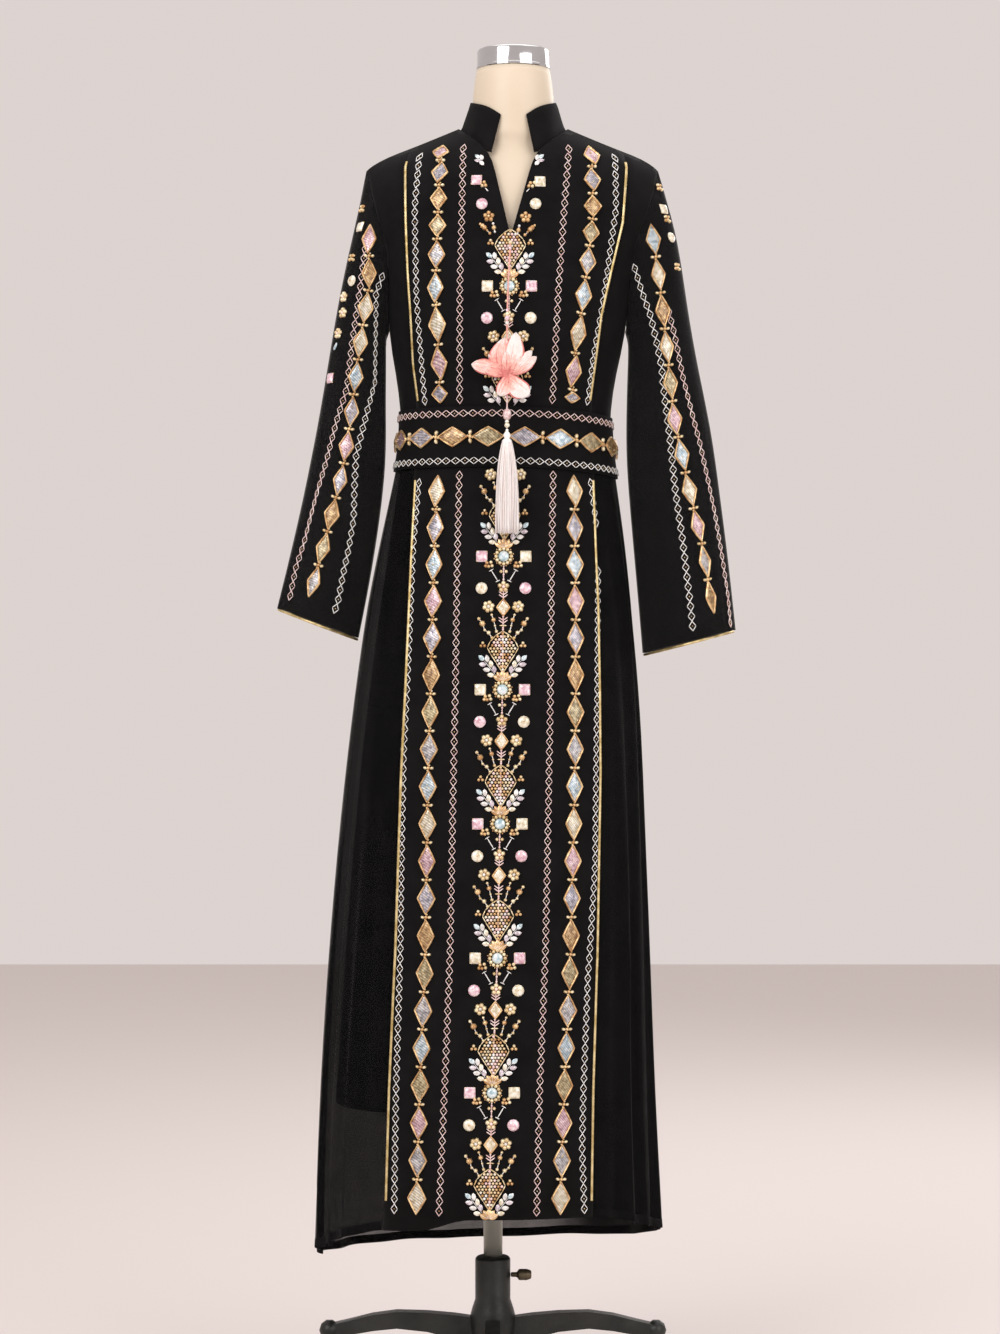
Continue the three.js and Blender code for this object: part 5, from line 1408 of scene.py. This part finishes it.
# Sleeve gems.
# Near each shoulder a few gems, bead clusters and flowers are scattered beside the chains, of the same
# kinds as at the neck, with one pale blue sequin leaf on the left sleeve.
sleeve_gems = {
    "left": [
        (-161, 1498, "cluster"), (-163, 1473, "white_square"), (-173, 1435, "cluster"),
        (-173, 1405, "cream_round"), (-183, 1386, "flower"), (-184, 1366, "flower"),
        (-190, 1341, "flower"), (-193, 1325, "leaf"), (-200, 1286, "pink_square"),
    ],
    "right": [
        (206, 1525, "cluster"), (211, 1496, "white_square"), (215, 1484, "cluster"),
        (220, 1460, "cream_round"), (227, 1424, "cluster"),
    ],
}
sleeve_cluster = ((-2.6, 2.2), (2.4, 2.0), (0, -2.2), (-3.8, -2.8), (3.6, -3.4))
for hand, gems in sleeve_gems.items():
    work = Beadwork()
    tree = surface_tree(sleeve_shells[hand], bpy.data.objects[f"bodice_side_{hand}_shell"])
    for x, z, kind in gems:
        spot = spot_on(tree, x * MM + shift_x, z * MM, gem_lift)
        if spot is None:
            continue
        if kind == "cluster":
            bead_cluster(work, spot, sleeve_cluster, 0.0022, copper, gold)
        elif kind.endswith("square"):
            square_gem(work, spot, 0, 0, 0.0062, pink_stone if "pink" in kind else cream_stone)
        elif kind.endswith("round"):
            round_gem(work, spot, 0, 0, 0.0068, cream_stone)
        elif kind == "flower":
            bead_flower(work, spot, 0, 0, 0.0068, 5, gold, rose)
        else:
            leaf(work, spot, 0, 0, 0.0105, 0.006, 35, blue_stone)
    work.sew(f"sleeve_gems_{hand}", ornament_finishes)

# Pendant.
# A twisted rose cord hangs from the point of the V over the ornament, with small pearls on it. It holds a
# lotus of padded satin stitch, ten petals from rose to white at the tips, then beads and a silk tassel.
def silk(name, low, high, rough=0.46):
    """Glossy silk floss: the colour shifts a little from thread to thread."""
    material, nodes, links = new_material(name)
    shader = set_shader(nodes, Sheen_Weight=0.25, Sheen_Roughness=0.35, Specular_IOR_Level=0.5)
    wear_in(nodes, links, shader, 260, low, high, rough - 0.1, rough + 0.12, edge=0.36)
    return material


silk_rose = silk("silk_rose", (0.6, 0.14, 0.13), (0.76, 0.24, 0.21))
silk_blush = silk("silk_blush", (0.76, 0.34, 0.28), (0.86, 0.45, 0.38))
silk_pale = silk("silk_pale", (0.8, 0.52, 0.46), (0.88, 0.64, 0.58))
silk_white = silk("silk_white", (0.82, 0.73, 0.69), (0.9, 0.82, 0.79))
petal_finishes = [silk_rose, silk_blush, silk_pale, silk_white]
rose_silk, blush_silk, white_silk = 0, 1, 3

# Petals from the back to the front: tip across and up from the heart, and width, in mm; the place of the
# widest part; a bend to the side; how far the petal stands forward in mm; how far the rose reaches.
petals = [
    (36.0, 22.0, 15, 0.6, 2.0, -0.8, 0.7), (30.5, 29.6, 14, 0.6, 1.0, -0.4, 0.5),
    (-22.7, 25.0, 9, 0.7, 0.0, -0.6, 0.9), (11.0, 51.4, 25, 0.52, 3.0, 0.5, 0.5),
    (-2.8, 45.3, 27, 0.5, -7.5, 0.0, 0.95), (-43.2, 13.0, 19, 0.66, 2.0, 0.0, 0.95),
    (-29.6, 9.4, 19, 0.58, 1.5, 1.0, 1.15), (-1.0, 28.6, 13, 0.55, 0.0, 1.6, 0.9),
    (26.6, -25.6, 25, 0.66, 3.0, 1.1, 0.55), (-9.4, -26.0, 20, 0.62, -3.0, 1.4, 0.9),
]
pendant_y = -0.133
heart = Vector((1.0 * MM, pendant_y, 1282 * MM))
work = Beadwork()
dice = random.Random(71)
petal_long, petal_across = 22, 26
for tip_x, tip_z, wide, widest, bend, forward, rosy in petals:
    way = Vector((tip_x, 0, tip_z)) * MM
    side = Vector((way.z, 0, -way.x)).normalized()
    starts = []
    for _ in range(petal_across):
        streak = 1.7 if dice.random() < 0.22 else 1.0
        starts.append([rosy * streak * (share + dice.uniform(-0.12, 0.12)) for share in (0.3, 0.6, 0.92)])
    front, back = [], []
    for i in range(petal_long + 1):
        u = i / petal_long
        t = u / widest * 0.5 if u < widest else 0.5 + (u - widest) / (1 - widest) * 0.5
        spread = max(0.03, math.sin(math.pi * t) ** 0.72)
        base = heart + way * (u * 1.04 - 0.04) + side * bend * MM * math.sin(math.pi * u)
        for j in range(petal_across + 1):
            v = j / petal_across * 2 - 1
            ridge = 0.00013 * (1 if j % 2 else -1)
            pad = 0.0024 * (1 - v * v) ** 0.6 * (0.55 + 0.45 * math.sin(math.pi * u)) + ridge
            flat = base + side * v * spread * wide * MM / 2
            front.append(flat + Vector((0, -forward * MM - pad - 0.0003, 0)))
            back.append(flat + Vector((0, -forward * MM + 0.0007, 0)))
    row = petal_across + 1
    offset = len(front)
    faces, tints = [], []
    for i in range(petal_long):
        for j in range(petal_across):
            a = i * row + j
            faces.append((a, a + 1, a + row + 1, a + row))
            u = (i + 0.5) / petal_long
            tint = sum(u > start for start in starts[j])
            # Both long edges of each petal, below its tip, take a deep rose band: painted shade that parts
            # the overlapping petals.
            painted_edge_shade = u < 0.86 and j in (0, 1, petal_across - 2, petal_across - 1)
            tints.append(rose_silk if painted_edge_shade else tint)
    for i in range(petal_long):
        for j in range(petal_across):
            a = offset + i * row + j
            faces.append((a + row, a + row + 1, a + 1, a))
            tints.append(blush_silk)
    for i in range(petal_long):
        for a, b in ((i * row, (i + 1) * row), ((i + 1) * row + row - 1, i * row + row - 1)):
            faces.append((a, b, b + offset, a + offset))
            tints.append(blush_silk)
    for a in range(petal_across):
        last = petal_long * row + a
        faces.append((a + 1, a, a + offset, a + 1 + offset))
        faces.append((last, last + 1, last + 1 + offset, last + offset))
        tints += [rose_silk, white_silk]
    for tint in range(len(petal_finishes)):
        chosen = [face for face, own in zip(faces, tints) if own == tint]
        used = sorted({i for face in chosen for i in face})
        number = {old: new for new, old in enumerate(used)}
        points = front + back
        work.add([points[i] for i in used], [[number[i] for i in face] for face in chosen], tint)
lotus = work.sew("lotus_satin_stitch", petal_finishes, "lotus")
bm = bmesh.new()
bm.from_mesh(lotus.data)
bmesh.ops.remove_doubles(bm, verts=bm.verts, dist=1e-6)
bm.normal_update()
bm.to_mesh(lotus.data)
bm.free()

thread_verts = [v.co for v in frame["nodes"]["pendant_thread"].data.vertices]
knots = []
for height in (1446, 1425, 1400, 1375, 1352, 1336.5):
    near = [p for p in thread_verts if abs(p.z - height * MM) < 0.0035]
    knots.append(sum(near, Vector()) / len(near))
knots.append(Vector((heart.x, pendant_y, heart.z + 0.041)))
path = []
for k in range(len(knots) - 1):
    beyond = knots[min(k + 2, len(knots) - 1)]
    path += curve(knots[max(k - 1, 0)], knots[k], knots[k + 1], beyond, 24)
path.append(knots[-1])
forward = [Vector((0, -1, 0))] * len(path)
cord_half = 0.00095
verts, faces = braid(path, forward, cord_half, cord_half, pitch=0.0024, strands=2, around=8)
cord = trim("pendant_cord", verts, faces, [silk_blush], "pendant_thread")

work = Beadwork()
pendant_pearls = [stone_pink, leaf_white, gold_beads]
pink_pearl, white_pearl, gold_pearl = range(3)
for height, radius, tint in (
    (1444, 2.6, gold_pearl), (1437, 2.0, pink_pearl), (1361, 2.1, pink_pearl),
    (1356.5, 2.8, gold_pearl), (1351, 3.2, pink_pearl), (1345, 2.4, white_pearl),
):
    place = min(path, key=lambda p: abs(p.z - height * MM))
    verts = []
    for ring in range(7):
        a = math.pi * ring / 6
        for k in range(10):
            b = 2 * math.pi * k / 10
            r = max(math.sin(a), 0.02) * radius * MM
            verts.append(place + Vector((r * math.cos(b), r * math.sin(b), -math.cos(a) * radius * MM)))
    faces = [*ring_faces(7, 10), tuple(reversed(range(10))), tuple(range(60, 70))]
    work.add(verts, faces, tint)
work.sew("pendant_cord_pearls", pendant_pearls)

bead_low, bead_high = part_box("pendant_beads")
bead_top = (bead_high[2] - bead_low[2]) / MM
bead_profile = [
    (0, 0), (0.9, 0.2), (0.9, 0.9), (2.1, 1.3), (3.1, 2.6), (3.3, 3.9), (3.0, 5.2), (2.0, 6.2),
    (1.4, 6.5), (2.2, 7.0), (2.6, 8.2), (2.2, 9.4), (1.2, 10.0), (2.6, 10.5), (4.3, 12.2),
    (5.0, 14.6), (5.1, 16.8), (5.0, 19.0), (4.3, 21.4), (2.6, 23.1), (1.2, 23.6), (0.95, 25.0),
    (0.95, bead_top - 0.1), (0, bead_top),
]
bead_profile = [(r * MM, h * MM) for r, h in bead_profile]
drops = turned("pendant_drop_beads", bead_profile, (heart.x, pendant_y, bead_low[2]), 28)
rose_pearl = pearly("rose_pearl", (0.55, 0.34, 0.34), (0.74, 0.54, 0.53), (0.9, 0.77, 0.75), 0.1, 0.25)
finish(drops, "pendant_beads", rose_pearl)
drops.data.materials.append(stone_cream)
for face in drops.data.polygons:
    if face.center.z < bead_low[2] + 10 * MM:
        face.material_index = 1

# Tassel.
# Threads of pale silk in three near tints are gathered under a pale head of turned steps; they swell at
# once under it and hang almost straight, with uneven ends.
tassel_low, tassel_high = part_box("tassel")
work = Beadwork()
dice = random.Random(73)
tassel_top = tassel_high[2]
hang = tassel_top - tassel_low[2]
strand_count, strand_steps = 170, 16
for number in range(strand_count):
    a = number * 2.39996
    share = math.sqrt((number + 0.5) / strand_count)
    sway, phase = dice.uniform(0.1, 0.5) * MM, dice.uniform(0, 6.28)
    end = hang - dice.uniform(0, 0.0035)
    thick = dice.uniform(0.5, 0.68) * MM
    centres = []
    for step in range(strand_steps + 1):
        u = step / strand_steps
        down = 0.0135 + (end - 0.0135) * u
        swell = 0.0048 + 0.0082 * (1 - math.exp(-4.5 * u)) + 0.0014 * u
        x = math.sin(a) * share * swell + sway * math.sin(phase + 5 * u)
        y = -math.cos(a) * share * swell * (1 - 0.36 * min(1, u * 2.5))
        centres.append(Vector((heart.x + x, pendant_y + y, tassel_top - down)))
    verts, faces = [], []
    for centre in centres:
        for k in range(4):
            b = math.pi / 2 * k
            verts.append(centre + Vector((math.cos(b) * thick, math.sin(b) * thick, 0)))
    for step in range(strand_steps):
        for k in range(4):
            n = (k + 1) % 4
            low, high = step * 4, (step + 1) * 4
            faces.append((low + n, low + k, high + k, high + n))
    faces += [(0, 1, 2, 3), tuple(reversed(range(strand_steps * 4, strand_steps * 4 + 4)))]
    work.add(verts, faces, number % 3)
tassel_finishes = [
    silk("tassel_white", (0.98, 0.93, 0.91), (1.0, 0.97, 0.95), 0.42),
    silk("tassel_blush", (0.96, 0.86, 0.83), (1.0, 0.92, 0.9), 0.42),
    silk("tassel_pearl", (0.97, 0.89, 0.87), (1.0, 0.95, 0.94), 0.42),
]
work.sew("tassel_strands", tassel_finishes, "tassel")
tassel_profile = [
    (0, 0), (4.4, 0.5), (5.7, 2.0), (5.5, 3.6), (4.2, 5.4), (2.8, 6.2), (3.9, 7.8), (4.3, 9.6),
    (4.1, 11.4), (2.6, 13.6), (1.2, 14.6), (1.7, 15.6), (1.6, 16.8), (1.0, 17.6), (0, 18.0),
]
tassel_profile = [(r * MM, h * MM) for r, h in tassel_profile]
head = turned("tassel_head", tassel_profile, (heart.x, pendant_y, tassel_top - 0.018), 28)
head.data.materials.append(tassel_finishes[0])
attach(head, "root")
